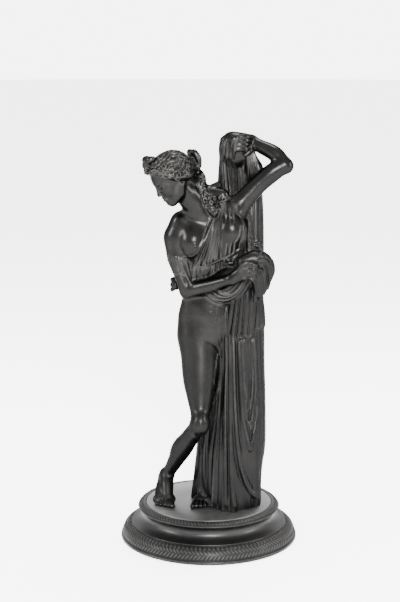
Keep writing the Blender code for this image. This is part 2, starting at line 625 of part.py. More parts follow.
def hair(c, fine=True):
    # Parted in the middle, swept back in wavy strands to a low knot, with curls round the face.
    o, M = headFrame()
    P = lambda *p: o + np.asarray(p, float) @ M
    rnd = np.random.default_rng(11)
    centre = np.array([0, -3.2, 6.6])
    half = np.array([16.6, 20.2, 18.4])

    def on(a, b, lift=0.0):
        # a: degrees from the parting down one side; b: degrees from the front to the back
        a, b = math.radians(a), math.radians(b)
        n = np.array([math.sin(a), math.cos(a) * math.cos(b), math.cos(a) * math.sin(b)])
        return P(*(centre + n * (half + lift)))
    middle = P(0, -2.0, 4.0)

    def way(roll, tilt):
        # roll: degrees from the parting down one side; tilt: from the forehead to the back
        p, q = math.radians(roll), math.radians(tilt)
        return vec(math.sin(q) * math.sin(p), math.cos(q), math.sin(q) * math.cos(p)) @ M

    def hairline(roll):
        return np.interp(roll, [0, 60, 88, 106], [38, 52, 73, 100])
    for s in (-1, 1):
        path = [P(0.8 * s, 15.4, 17.6), P(7.0 * s, 13.4, 16.2), P(12.3 * s, 8.6, 11.6),
            P(15.4 * s, 2.0, 5.0), P(16.2 * s, -6.0, -0.6), P(11.8 * s, -15.5, -4.0), P(4.5 * s, -21.0,
                -3.0)]
        c.chain(path, [2.4, 3.2, 4.0, 4.4, 4.2, 3.8, 3.4], 2.0, smooth=26)
        n = 10 if fine else 5
        for k in range(n):
            roll = 4 + 96 * k / (n - 1)
            t0 = hairline(roll) + 1
            wave0 = rnd.uniform(0, 6)
            swept, between = [], []
            for i in range(26):
                t = i / 25
                tilt = t0 + (156 - t0) * t
                swing = (3.6 + 2.0 * t) * (0.35 + t)
                swept.append(way((roll + swing * math.sin(tilt / 6.2 + wave0)) * s, tilt))
                between.append(way((roll - 4.8 + swing * math.sin(tilt / 6.2 + wave0 + 0.4)) * s, tilt))
            r = 1.25 if fine else 1.7
            c.wrap(middle, swept, [r * 0.8, r, r, r * 0.8], 0.6, 0.1)
            if fine and k:
                c.wrap(middle, between, [0.4, 0.6, 0.6, 0.5], 0.5, -0.2, True)
        rows, count = (3, 9) if fine else (2, 5)
        for row in range(rows):
            for k in range(count):
                roll = 3 + (k + 0.5 * (row % 2)) * 104 / count + rnd.uniform(-2, 2)
                u = way(roll * s, hairline(roll) - 3 + row * 10.5 + rnd.uniform(-1.5, 1.5))
                h = c.surface([middle + u * 40], -u, reach=40.0, start=0.0)[0]
                if h is not None:
                    curl(c, h, u, M[2], rnd.uniform(2.4, 3.2) if fine else 3.4, 1.0 if fine else 1.6,
                        s * (1 if (k + row) % 2 else -1), rnd.uniform(0, 6), 0.0)
    # two short loops tied over the parting
    for s in (-1, 1):
        c.chain([P(0.6 * s, 10.0, 22.5), P(4.2 * s, 12.8, 27.4), P(7.0 * s, 10.0, 27.8),
            P(4.6 * s, 6.6, 25.2)], [2.5, 3.3, 3.0, 2.2], 1.0, smooth=10)
        if fine:
            for k in range(3):
                curl(c, P((3.2 + 1.8 * k) * s, 13.8 - 1.5 * k, 26.8 + 1.4 * (k % 2)),
                    M[0] * s * 0.6 + M[1] * 0.6 + M[2] * 0.4, M[2], 2.0, 0.8, s, k * 2.0, 0.0)
    c.egg(P(0, 13.6, 23.5), (4.6, 4.8, 5.4), 1.6, M)
    c.egg(P(0, 8.0, 23.0), (6.6, 6.0, 4.0), 2.0, M)
    c.chain([P(0, 16.2, 21), P(0, 17.4, 24.4), P(1.0, 15.2, 28.2), P(0.6, 12.0, 29.2)],
        [2.2, 2.5, 2.1, 1.6], 1.0, smooth=9)
    # knot at the back of the head, two loops tied across
    c.egg(P(0, -24.2, 1.4), (7.0, 6.8, 8.6), 2.5, M)
    for s in (-1, 1):
        c.chain([P(1.2 * s, -26, 5.0), P(4.8 * s, -30.0, 10.5), P(7.0 * s, -30.4, 4.0),
            P(4.4 * s, -28.4, -3.5)], [2.4, 3.1, 3.2, 2.6], 0.9, smooth=10)
        if fine:
            c.chain([P(2.0 * s, -29.2, 3.0), P(5.8 * s, -33.0, 8.2), P(8.6 * s, -31.6, 4.6)],
                [0.6, 0.7, 0.6], 0.5, cut=True, smooth=8)
            curl(c, P(6.5 * s, -27.5, -1.5), M[0] * s * 0.8 - M[1] * 0.4, M[2], 2.2, 0.85, s, 1.0, 0.2)
    c.chain([P(-2.8, -30.5, 2.6), P(0, -32.0, 4.2), P(2.8, -30.5, 6.2)], [1.9, 2.3, 1.9], 0.7)
    # hair low on the nape, and the lock that falls to the left shoulder
    c.chain([P(0, -15, -6), vec(-10, 6, 352), vec(-4, 5, 341)], [9, 8, 7], 4, smooth=8)
    lock = [P(5, -21, -3), vec(-9.3, -2, 361), vec(-8.6, -4.5, 351), vec(-5.0, -8.0, 342),
        vec(0.5, -11.0, 334), vec(5.0, -13.0, 327)]
    c.chain(lock, [4.4, 5.2, 5.2, 4.8, 4.0, 2.4], 1.8, smooth=20)
    line = spline(lock, 40)
    for k in range(16 if fine else 5):
        i0 = int(1 + k * (37 / (16 if fine else 5)))
        q0, q1 = line[i0], line[min(i0 + 2, 39)]
        ax = unit(q1 - q0 + vec(0, 0, -1e-3))
        side = 1 if k % 2 else -1
        nrm = unit(vec(0.62 * side - 0.1, -0.8, 0.1))
        curl(c, q0 + nrm * np.interp(i0, [0, 12, 40], [4.4, 5.0, 2.6]), nrm, ax, 2.5 if fine else 3.2,
            0.95 if fine else 1.5, side, k * 1.3, 0.1)
    if fine:
        for x, z in ((2, 338), (6.5, 335), (8.5, 329.5), (12.0, 336.5), (0.5, 331), (5.5, 340),
            (10.5, 341)):
            h = c.surface([vec(x, 0, z)], (0, 1, 0))[0]
            curl(c, h, vec(0.1, -1, 0.45), vec(0, 0, 1), 2.5, 0.95, 1 if x > 5 else -1, x, 0.0)


def foot(c, ankle, ball, toeDir, lift, side, straps=False):
    # side = +1 when the big toe is on the viewer's right.
    t = unit(vec(toeDir[0], toeDir[1], 0))
    s = vec(-t[1], t[0], 0) * side
    if s @ vec(1, 0, 0) * side < 0:
        s = -s
    heel = ankle - t * 7.5 + vec(0, 0, -lift) - s * 0.8 * (lift < 7)
    c.chain([ankle, ankle - t * 3 + vec(0, 0, -3) - s * 0.8, heel - s * 1.2], [6.2, 6.8, 6.4], 4)
    c.chain([ankle + t * 1, (ankle + ball) / 2 + s * 1.5 + vec(0, 0, 2.5), ball + s * 3.6 + vec(0, 0, 1)],
        [6.2, 6.6, 4.8], 4, smooth=7)
    c.chain([heel, (heel + ball) / 2 - s * 4, ball - s * 6], [6.4, 5.8, 3.8], 4, smooth=7)
    c.chain([ball - s * 8, ball + s * 7], [3.6, 4.4], 3)
    for i in range(5):
        r = 2.7 - 0.28 * i
        a = ball + s * (7.6 - i * 3.8) + t * 2
        length = 12.0 - i * 1.9
        b, e = a + t * length * 0.55, a + t * length
        b[2] = groundZ + r + 1.2
        e[2] = groundZ + r * 0.7
        c.chain([a, b, e], [r + 0.4, r * 0.9, r], 0.7, smooth=6)


def wave(phase, sharp=0.55):
    # Rounded ridges with narrow valleys, 0 to 1.
    low = 0.02 ** (sharp / 2)
    return ((np.sin(math.pi * phase) ** 2 + 0.02) ** (sharp / 2) - low) / (1.01 - low)


def cloak(c, fine=True):
    # Skirt and hanging cloak as one column of cloth.
    L = [
        (34, 20, 2, [29.6, 36, 40, 39, 38, 40, 33, 26.5, 32.0, 38.5, 36, 35]),
        (60, 20, 2, [31.4, 35, 39, 37, 35, 35.5, 31.0, 28, 30.0, 35, 36, 35]),
        (90, 20, 2, [35.9, 36, 37, 34.5, 31.5, 31.5, 29.2, 28.5, 27.5, 32, 35, 36]),
        (120, 20, 2, [36.2, 35.5, 36, 33, 29.5, 30, 28.0, 25, 22, 29.5, 33, 35]),
        (150, 20, 2, [35.7, 35, 35, 31.5, 28, 28, 26, 20, 16.5, 26.5, 31, 33.5]),
        (180, 20, 2, [34.8, 34.5, 34.5, 31, 28, 27, 22, 17, 13.5, 24, 28.5, 31.5]),
        (209, 20, 2, [34.4, 34.5, 34, 31, 29, 27, 19, 15, 13, 21.5, 26, 30]),
        (235, 22, 5, [30.4, 31, 28, 27, 26, 26, 22, 12, 12, 14, 18, 26]),
        (262, 26, 10, [27, 26, 22, 19, 20.5, 25, 26, 12, 10, 10, 12, 20]),
        (300, 27, 14, [25.5, 22.5, 16.5, 13.5, 16, 22, 26, 13, 9, 9, 10, 16]),
        (328, 27, 18, [25, 18, 12, 11, 13, 17.5, 21, 12, 8, 7, 8, 15]),
        (345, 27, 21, [23.8, 14, 9.5, 8.5, 10, 14.5, 18.2, 11, 7.5, 6.5, 7.5, 14]),
        (362, 26, 22, [19, 10.5, 7.5, 7, 8, 12, 16.4, 11, 8, 7, 8, 12]),
        (385, 25, 22, [14, 9.5, 7.5, 7, 7.5, 10.5, 14.2, 11.5, 9, 8, 8, 10]),
        (400, 25, 22, [12, 9, 7, 6.5, 7, 10, 13, 10, 8, 7.5, 7, 9]),
    ]

    def folds(a, z):
        s = a / (2 * math.pi)
        n = 25.0
        whole = 2 * math.pi * s
        drift = (0.10 * np.sin(z / 61.0 + 7 * whole) + 0.18 * np.sin(z / 33.0 + 2.0) * np.sin(2 * whole)) / n
        warp = 0.018 * np.sin(3 * whole + 1.0) + 0.012 * np.sin(5 * whole + 2.4) + 0.005 * np.sin(9 * whole)
        phase = (s + warp + drift) * n
        k = np.floor(phase)
        amp = 0.75 + 0.35 * np.sin(k * 2.4 + 0.7) + 0.18 * np.sin(z / 40.0 + k * 1.7)
        size = np.interp(z, [34, 120, 209, 262, 330, 397], [3.8, 3.2, 2.5, 2.4, 2.2, 1.9])
        h = wave(phase, 0.62) * amp * size
        if fine:
            h = h + 0.35 * np.sin(2 * math.pi * phase * 2 + z / 25.0) * (size / 3)
        # less folded where the cloth lies on the right, under the long loops
        d = np.abs(np.mod(a - math.radians(332) + math.pi, 2 * math.pi) - math.pi)
        calm = np.exp(-(d / 0.80) ** 6) * np.clip((z - 44) / 30, 0, 1) * np.clip((225 - z) / 20, 0, 1)
        return (h - size * 0.5) * (1 - 0.85 * calm)
    c.loft(L, folds, 2.5, floor=groundZ - 1.5, ceiling=397)


def longFolds(c, fine=True):
    # Loops hanging from the hip on the right of the skirt, and straight folds beside them.
    axis = (20, 2)
    # the loops, from the innermost: left strand down to the tip, then up the right strand
    loops = [(304, 322, 142, 313, 1.9), (300, 328, 121, 316, 2.2), (296, 334, 103, 318, 2.4)]
    for a0, a1, zb, ab, w in loops:
        c.around([(a0 - 2, 206), (a0, 180), (a0 + (ab - a0) * 0.30, zb + 36), (ab - 5, zb + 12), (ab, zb),
            (ab + 4, zb + 12), (a1, zb + 40), (a1 + 1, 205)],
                 [w * 0.9, w, w * 1.1, w, w * 0.8], axis, blend=1.2, sink=0.1, n=48)
    # the long line that swings out to the right above the ground
    c.around([(288, 207), (289, 160), (291, 130), (295, 106), (303, 86), (316, 68), (330, 58)],
        [2.0, 2.3, 2.5, 2.3, 1.6], axis, blend=1.3, sink=0.2, n=44, fade=0.2)
    c.around([(297, 84), (307, 66), (322, 52), (338, 44)], [1.6, 2.2, 1.6], axis, blend=1.3, sink=0.35,
        n=26, rise=0.3, fade=0.3)
    # straight folds in front
    for pts, w in [([(280, 208), (281, 150), (282, 100), (283, 60), (284, 38)], 2.2),
        ([(270, 206), (271, 150), (272, 100), (273, 60), (274, 38)], 2.7),
                   ([(256, 200), (257, 150), (259, 105), (261, 70), (262, 38)],
                       2.4), ([(243, 170), (245, 130), (247, 90), (248, 60), (247, 38)], 2.2),
                   ([(228, 126), (230, 95), (231, 62), (231, 46)],
                       2.2), ([(212, 112), (211, 85), (210, 60), (212, 42)], 2.2),
                   ([(196, 108), (195, 85), (194, 60), (196, 40)],
                       2.0), ([(182, 106), (182, 80), (182, 56), (182, 38)], 2.0)]:
        c.around(pts, [w * 0.8, w, w], axis, blend=1.4, sink=0.4, n=24,
            rise=0.45 if pts[0][1] < 180 else 0.0)
    if fine:
        for a0, a1, zb, ab, w in loops:
            a0, a1, zb = a0 + 2.2, a1 - 1.6, zb + 9
            c.around([(a0 - 2, 205), (a0, 180), (a0 + (ab - a0) * 0.34, zb + 36), (ab - 3.5, zb + 10),
                (ab, zb), (ab + 3, zb + 10), (a1, zb + 38), (a1, 203)],
                     [0.8, 1.1, 1.1, 0.8], axis, blend=0.8, sink=-0.2, cut=True, n=48)
        for pts in ([(284.5, 206), (285.5, 150), (288, 108), (294, 84), (306, 66), (322, 54)],
            [(275, 206), (276, 150), (277, 100), (278.5, 60), (279, 38)],
                    [(263, 200), (264, 150), (265, 100), (267, 60), (268, 38)], [(250, 185), (251, 130),
                        (253, 90), (254, 60), (254, 38)],
                    [(236, 150), (238, 100), (239, 60), (239, 38)], [(220, 116), (220, 85), (220, 60),
                        (222, 44)], [(204, 110), (203, 85), (202, 60), (204, 44)],
                    [(189, 106), (189, 80), (188, 60), (189, 40)], [(338, 204), (339, 150), (338, 100),
                        (336, 70)]):
            c.around(pts, [0.9, 1.2, 1.2], axis, blend=0.9, sink=-0.2, cut=True, n=26,
                rise=0.35 if pts[0][1] < 180 else 0.0)


def recess(c):
    # The deep hollow between the bare leg and the edge of the skirt.
    c.chain([vec(15.0, -20, 194), vec(13.6, -22, 176), vec(11.0, -26, 158), vec(8.0, -31, 140),
        vec(5.5, -34, 124)], [1.5, 3.0, 3.4, 3.4, 2.4], 1.5, cut=True, smooth=20)


def tunic(c, fine=True):
    # Thin cloth over the chest: left breast covered, right bare.
    c.egg(vec(18, -8.5, 297), (14.5, 12.5, 17), 6)
    spans, x, y, z = c.window((-46, -40, 238), (50, 30, 345))
    a, b = np.array([12.5, 339.0]), np.array([-7.5, 300.0])
    ab = unit(b - a)
    dab = -(x - a[0]) * ab[1] + (z - a[1]) * ab[0]
    e = unit(np.array([-34.0, 286.5]) - b)
    dbe = -(x - b[0]) * e[1] + (z - b[1]) * e[0]
    m = np.maximum(dab, dbe * 0.25)
    mask = (np.clip(m / 0.9, 0, 1) * np.clip((10 - y) / 4, 0, 1) * np.clip((340 - z) / 4, 0,
        1) * np.clip((z - 252) / 6, 0, 1)
            * (1 - np.clip((-24 - x) / 3, 0, 1)) * np.clip((44 - x) / 4, 0, 1))
    c.field[spans] -= (mask * 1.2).astype(np.float32)
    c.stroke([(10, 339), (3, 327), (-3.5, 311), (-8, 298), (-11, 290.5), (-17, 286.5), (-24, 286)], 1.0,
        0.35, blend=0.8, sink=0.2, n=24, taper=False)
    n = 10 if fine else 5
    mid = [(-4, 304), (2, 306), (7, 307), (12, 309)]
    c.chain([vec(-6, 4, 338.5), vec(3, 4, 343.5), vec(13, 1, 343.0)], [6.5, 7.4, 6.8], 4)
    c.chain([vec(-2, 7, 346), vec(4, 7, 349.5), vec(9, 8, 352.5)], [3.0, 4.2, 3.6], 3, smooth=8)
    c.fan([(9, 336), (12, 338), (15, 339)], [(-18, 273), (-8, 273), (2, 277), (13, 283)], n, 0.8, 1.4,
        blend=1.0, sink=0.05, seed=5, mid=mid)
    c.fan([(18, 339), (21, 337), (24, 334)], [(27, 290), (33, 295), (39, 300)], 5 if fine else 2, 0.8, 1.5,
        blend=1.0, sink=0.05, seed=9, mid=[(31, 318), (35, 320), (39, 321)])
    for x in (15, 19, 23):
        c.stroke([(x * 0.7 + 5, 337), (x, 328), (x + 1, 319)], 0.9, 0.4, blend=1.2, sink=0.0, n=12)
    for x in (16, 20, 24):
        c.stroke([(x, 287 + (x - 16) * 0.4), (x + 0.5, 294), (x + 1.0, 300)], 0.8, 0.4, blend=1.2,
            sink=0.0, n=10)
    if fine:
        c.stroke([(25, 300), (29, 308), (30, 318)], 0.7, 0.7, blend=1.0, sink=0.2, n=14)
        c.fan([(8.5, 333), (11, 335), (14, 336)], [(-15, 275), (-5, 276), (4, 279), (14, 284)], n - 1, 0.6,
            0.8, blend=0.6, sink=-0.1, cut=True, seed=6,
              mid=[(-2, 304), (3, 306), (8, 307), (12, 309)])


def girdle(c, fine=True):
    # The high belt: two cords with gathered cloth between them, and a knot.
    up = [(-28, 276), (-8, 275.5), (12, 283.5), (24, 290), (35, 298)]
    low = [(-26, 262.5), (-8, 261.5), (10, 267.5), (24, 275), (36, 286)]
    mid = [((a[0] + b[0]) / 2, (a[1] + b[1]) / 2) for a, b in zip(up, low)]
    c.stroke(mid, 6.8, 6.8, blend=3, sink=0.72, n=22, taper=False)
    if fine:
        c.fan(up, low, 20, 0.85, 0.85, blend=0.5, sink=0.2, seed=8, n=7, taper=False)
        c.fan(up, low, 17, 0.6, 0.6, blend=0.5, sink=-0.1, cut=True, seed=12, n=7, taper=False)
    c.stroke(up, 1.1, 1.1, blend=0.5, sink=0.0, n=26, taper=False)
    c.stroke(low, 1.1, 1.1, blend=0.5, sink=0.0, n=26, taper=False)
    for path in ([(21, 281), (16, 285), (15, 279), (20, 280)],
        [(21, 281), (27, 287), (28, 281), (21, 280)], [(21, 280), (18, 274), (17, 269)], [(21, 280),
            (24, 275), (26, 271)]):
        c.stroke(path, 1.2, 1.0, blend=0.6, sink=0.0, n=12, taper=False)
    c.stroke([(19.5, 280.5), (22.5, 280.5)], 2.0, 2.0, blend=0.6, sink=0.1, n=3, taper=False)


def swag(c, fine=True):
    # Cloth sagging under the forearm.
    t = math.radians(24)
    A = [[math.cos(t), 0, math.sin(t)], [0, 1, 0], [-math.sin(t), 0, math.cos(t)]]
    c.egg((20, -15, 259), (26, 10.5, 16.5), 3, A)
    lows = [(-8, 252), (0, 243.5), (10, 238.5), (22, 240), (33, 248), (43, 262)]
    n = 6 if fine else 4
    for k in range(n):
        s = k / float(n)
        pts = [(x + (19 + 3 * math.sin(k * 2.2) - x) * 0.42 * s,
            z + s * 17 + 0.8 * math.sin(k * 1.7 + i)) for i, (x, z) in enumerate(lows)]
        r = (1.25 + 0.3 * math.sin(k * 2.0)) if fine else 1.5
        c.stroke(pts, r, r * 0.9, blend=0.9, sink=0.1, n=24)
    if fine:
        for k in range(n - 1):
            s = (k + 0.5) / float(n)
            pts = [(x + (19 - x) * 0.42 * s, z + s * 17) for x, z in lows]
            c.stroke(pts, 0.55, 0.55, blend=0.6, sink=-0.2, cut=True, n=24)


def overfold(c, fine=True):
    # The short fold of the tunic over the left hip, with a zigzag hem.
    L = [(200, 33, -1, [21.5, 24, 24, 20, 18, 16, 16, 20.5, 23.0, 22.5, 21.5, 20.5]),
         (222, 33, -1, [21.0, 24, 24, 20, 18, 16, 15, 19.5, 22.0, 21.5, 20.5, 20.0]),
         (246, 32, -2, [20.5, 22, 22, 20, 18, 14, 13, 16.0, 18.5, 19, 19, 19]),
         (268, 32, -2, [18.0, 20, 20, 18, 16, 10, 9, 9.0, 12, 14, 15, 16])]
    n = 19.0

    def phase(a, z):
        s = a / (2 * math.pi)
        warp = 0.012 * np.sin(8 * math.pi * s + 0.6) + 0.002 * np.sin(z / 11.0)
        return (s + warp - 0.0011 * (z - 204)) * n

    def folds(a, z):
        p = phase(a, z)
        size = np.interp(z, [200, 262], [2.9, 1.6])
        return (wave(p, 0.7) - 0.5) * size * (0.85 + 0.25 * np.sin(np.floor(p) * 2.1))

    def hem(a, z):
        p = phase(a, z)
        tri = np.abs(2 * (p / 2 - np.floor(p / 2)) - 1)
        back = np.clip(np.sin(a), 0, 1)
        right = np.clip((np.mod(a, 2 * math.pi) - math.radians(288)) / math.radians(60), 0, 1)
        return 206.5 + 5.0 * tri + back * 30 + 9.0 * right
    c.loft(L, folds, 0.9, hem=hem)


def bunch(c, fine=True):
    # Cloth thrown over the right hand, falling at the left hip.
    c.chain([vec(33, -28, 283), vec(44, -25, 285), vec(52.2, -19, 280), vec(53.6, -15, 266),
        vec(50.8, -14, 254)], [6.5, 8.6, 9.4, 7.4, 5.4], 3, smooth=14)
    c.chain([vec(46, -22, 270), vec(48, -21, 258), vec(48, -20, 250)], [7, 6.2, 4.4], 2.5)
    arcs = [
        ([(33, 272), (39, 279), (45, 277), (47.5, 266), (46.5, 249)], 1.7),
        ([(34, 277), (42, 285), (50, 280), (53, 266), (51.5, 247)], 1.8),
        ([(35, 284), (45, 293), (55, 287), (57.5, 270), (54, 250)], 1.9),
        ([(40, 291), (50, 295.5), (59.8, 287.5), (60.8, 272), (57.8, 256)], 1.7),
    ]
    for pts, w in arcs:
        c.stroke(pts, w, w, toward=(-0.25, 1, 0), blend=0.9, sink=0.1, n=26, start=-60)
    if fine:
        for pts in ([(36, 276), (42, 281.5), (47.5, 277), (50.5, 264), (49, 250)],
            [(38, 281), (46, 287), (53, 281), (55.5, 266), (54, 250)], [(43, 286), (50, 291), (57.5, 284),
                (60, 268), (58, 254)]):
            c.stroke(pts, 0.8, 0.8, toward=(-0.25, 1, 0), blend=0.6, sink=-0.2, cut=True, n=26, start=-60)
    # zigzag ends
    for x, y, z0, z1, r in [(58.5, -13, 264, 254, 2.0), (54.5, -16, 260, 249.5, 2.2),
        (50, -19, 256, 245.5, 2.3), (45.5, -21, 254, 243, 2.2)]:
        c.chain([vec(x, y, z0), vec(x - 0.8, y, (z0 + z1) / 2), vec(x - 1.5, y + 0.5, z1)],
            [r, r, r * 0.6], 0.9)


def upperCloth(c, fine=True):
    # The free end that hangs over the raised arm.
    c.chain([vec(39, 14, 388), vec(41.0, 14, 380), vec(44.6, 14, 369), vec(45.6, 16, 358)],
        [3.4, 4.8, 7.0, 5.6], 2, smooth=10, flat=((0, 1, 0), 1.6))
    for x in (38.6, 42.2, 45.8, 49.0):
        c.chain([vec(x * 0.4 + 22.5, 12, 388), vec(x * 0.8 + 6.4, 9.8, 377), vec(x, 9.8, 366),
            vec(x - 0.4, 12, 356)], [1.2, 1.7, 1.8, 1.3], 0.8, smooth=10)


def sleeve(c, fine=True):
    # Short sleeve on the right upper arm, and the end of the roll of cloth behind the elbow.
    s, e = j["shoulderR"], j["elbowR"]
    ax = unit(e - s)
    u = unit(np.cross(ax, (0, 1, 0)))
    v = np.cross(ax, u)
    p = s + (e - s) * 0.40
    ring = []
    for q in np.linspace(0, 2 * math.pi, 19):
        rim = (u * math.cos(q) + v * math.sin(q)) * 10.6
        ring.append(p + vec(-1.0, 0, 0) + rim + ax * (4.0 * math.cos(q - 0.3)))
    c.chain(ring, 1.3, 1.4)
    for k in range(7 if fine else 4):
        x = -41.5 + k * (3.2 if fine else 5.5)
        c.stroke([(x, 285 - k * 0.8), (x + 1.5, 279 - k * 0.6), (x + 4.0, 270 - k * 0.4)], 1.0, 1.2,
            blend=1.0, sink=0.35, n=12)
        if fine:
            c.stroke([(x + 1.6, 284 - k * 0.8), (x + 3.1, 278 - k * 0.6), (x + 5.4, 271 - k * 0.4)], 0.6,
                0.7, blend=0.6, sink=-0.2, cut=True, n=12)
    c.stroke([(-40, 272), (-33, 268), (-26, 268), (-21, 265), (-18, 258)], 1.1, 1.4, blend=1.0, sink=0.0,
        n=20)
    c.stroke([(-27, 282), (-24, 272), (-20, 264), (-16.5, 257)], 1.6, 1.6, blend=1.2, sink=0.1, n=16)
    c.stroke([(-30.5, 279), (-28, 270), (-25, 262), (-21.5, 256)], 1.3, 1.3, blend=1.2, sink=0.1, n=16)
    c.chain([vec(-12, 17, 262), vec(-24, 15, 259), vec(-33.0, 11, 256)], [6.0, 5.0, 2.6], 2, smooth=8)
    for dz in (-3, 0, 3):
        c.chain([vec(-14, 21 - abs(dz) * 0.4, 262 + dz), vec(-25, 18.5 - abs(dz) * 0.4, 259 + dz),
            vec(-35.0, 12, 255.5 + dz * 1.3)], [1.6, 1.6, 1.1], 0.9, smooth=8)


def backRoll(c, fine=True):
    # The roll of cloth round the back of the waist.
    path = [vec(-20, 16, 260), vec(-8, 22, 258), vec(6, 27, 256), vec(20, 33, 255), vec(34, 31, 256),
        vec(46, 22, 260), vec(53, 8, 264), vec(54, -4, 268)]
    c.chain(path, [4.5, 5.4, 6.0, 6.0, 6.0, 5.6, 5.0, 4.6], 3, smooth=24)
    for k, dz in enumerate((-4.2, -1.4, 1.4, 4.2)):
        P = [p + vec(0, 3.6 - abs(dz) * 0.35, dz + 1.2 * math.sin(i * 1.3 + k)) if i < 5 else p + vec(3.0,
            2.0, dz) for i, p in enumerate(path[:-1])]
        c.chain(P, 1.7, 1.0, smooth=24)


def figureClay(step, fine=True):
    c = Clay((-74, -66, 28), (92, 66, 412), step)
    cloak(c, fine)
    longFolds(c, fine)
    torso(c)
    legs(c)
    recess(c)
    neck(c)
    tunic(c, fine)
    girdle(c, fine)
    swag(c, fine)
    overfold(c, fine)
    backRoll(c, fine)
    arms(c)
    upperCloth(c, fine)
    sleeve(c, fine)
    bunch(c, fine)
    hairCap(c)
    head(c, fine)
    hair(c, fine)
    rightHand(c)
    leftHand(c, fine)
    foot(c, j["ankleR"], j["ballR"], (0.02, -1), 5, 1)
    foot(c, j["ankleL"], j["ballL"], (-0.25, -1), 9, -1)
    return c


def bronze(name, colour, roughness):
    m = bpy.data.materials.new(name)
    m.use_nodes = True
    b = m.node_tree.nodes["Principled BSDF"]
    b.inputs["Base Color"].default_value = (*colour, 1)
    b.inputs["Metallic"].default_value = 1.0
    b.inputs["Roughness"].default_value = roughness
    return m


def place_object(name, mesh, group, material=None):
    thing = bpy.data.objects.new(name, mesh)
    group.objects.link(thing)
    if material:
        mesh.materials.clear()
        mesh.materials.append(material)
    return thing


def turned(name, profile, sides, group, material=None):
    # a profile in the XZ plane, outer side from top to bottom, turned round Z
    mesh = bpy.data.meshes.new(name)
    mesh.from_pydata([(r, 0, z) for r, z in profile], [(i, i + 1) for i in range(len(profile) - 1)], [])
    thing = place_object(name, mesh, group, material)
    turn = thing.modifiers.new("turn", "SCREW")
    turn.axis = "Z"
    turn.steps = turn.render_steps = sides
    turn.use_merge_vertices = True
    turn.merge_threshold = 0.00005
    turn.use_smooth_shade = True
    return thing


def arc(r0, z0, r1, z1, n, hollow):
    # quarter curve from one corner to the other; hollow bends it inwards
    out = []
    for i in range(1, n):
        q = math.pi / 2 * i / n
        if hollow:
            out.append((r0 + (r1 - r0) * (1 - math.cos(q)), z0 + (z1 - z0) * math.sin(q)))
        else:
            out.append((r0 + (r1 - r0) * math.sin(q), z0 + (z1 - z0) * (1 - math.cos(q))))
    return out


# The plinth
edge = 0.0004
ringBottom = plinthHeight - ringHeight
coveMiddle = stepTop + coveHeight * 0.56
profile = [(0, recessFloor), (recessRadius, recessFloor), (recessRadius, plinthHeight - edge),
    (recessRadius + edge, plinthHeight),
           (recessRadius + ringWidth * 0.36, plinthHeight), (ringRadius - ringWidth * 0.14,
               plinthHeight - ringHeight * 0.36),
           (ringRadius, plinthHeight - ringHeight * 0.56), (ringRadius - ringWidth * 0.05,
               ringBottom + ringHeight * 0.1),
           (ringRadius - ringWidth * 0.3, ringBottom)]
coveTop = ringRadius - ringWidth * 0.42
profile += [(coveTop, ringBottom - 0.0004)]
profile += arc(coveTop, ringBottom - 0.0004, coveRadius, coveMiddle, 3, False)
profile += [(coveRadius, coveMiddle)]
profile += arc(coveRadius, coveMiddle, stepRadius, stepTop, 5, True)
profile += [(stepRadius, stepTop), (stepRadius + edge, stepTop - stepHeight * 0.5),
    (stepRadius + edge, stepTop - stepHeight)]
profile += arc(stepRadius + edge, stepTop - stepHeight, roundRadius, footHeight + 0.0006, 5, False)
profile += [(roundRadius, footHeight + 0.0006), (roundRadius, footHeight), (footRadius, footHeight - edge),
    (footRadius, edge), (footRadius - edge, 0), (0, 0)]
plinth = turned("plinth", profile, plinthSides, statuette,
    bronze("bronze_plinth", (0.036, 0.034, 0.032), 0.38))

# The round ground under the feet
ground = turned("ground", [(0, 0), (groundRadius - groundEdge, 0), (groundRadius, -groundEdge),
    (groundRadius, groundEdge - groundThickness),
                           (groundRadius - groundEdge, -groundThickness), (0,
                               -groundThickness)], 72, cutters)
ground.hide_render = True
ground.display_type = "WIRE"

# The figure
clay = figureClay(clayStep, False)
tidyField(clay.field)
verts, quads = surfaceNets(clay.field, clay.low, clay.step)
verts, quads = biggest(verts, quads)
verts = (verts - vec(0, 0, groundZ)) * share
mesh = bpy.data.meshes.new("figure")
mesh.from_pydata(verts.tolist(), [], quads.tolist())
mesh.update()
figure = place_object("figure", mesh, statuette, bronze("bronze_figure", (0.040, 0.036, 0.033), 0.32))
thin = figure.modifiers.new("facets", "DECIMATE")
thin.ratio = figureTriangles / (2 * len(quads))
thin.use_collapse_triangulate = True
join = figure.modifiers.new("ground", "BOOLEAN")
join.operation = "UNION"
join.object = ground

stand = bpy.data.objects.new("stand", None)
statuette.objects.link(stand)
for thing in (figure, ground):
    thing.location = (0, 0, groundTop)
for thing in (figure, ground, plinth):
    thing.parent = stand
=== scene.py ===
import math
import bpy
import numpy as np
from mathutils import Matrix, Vector


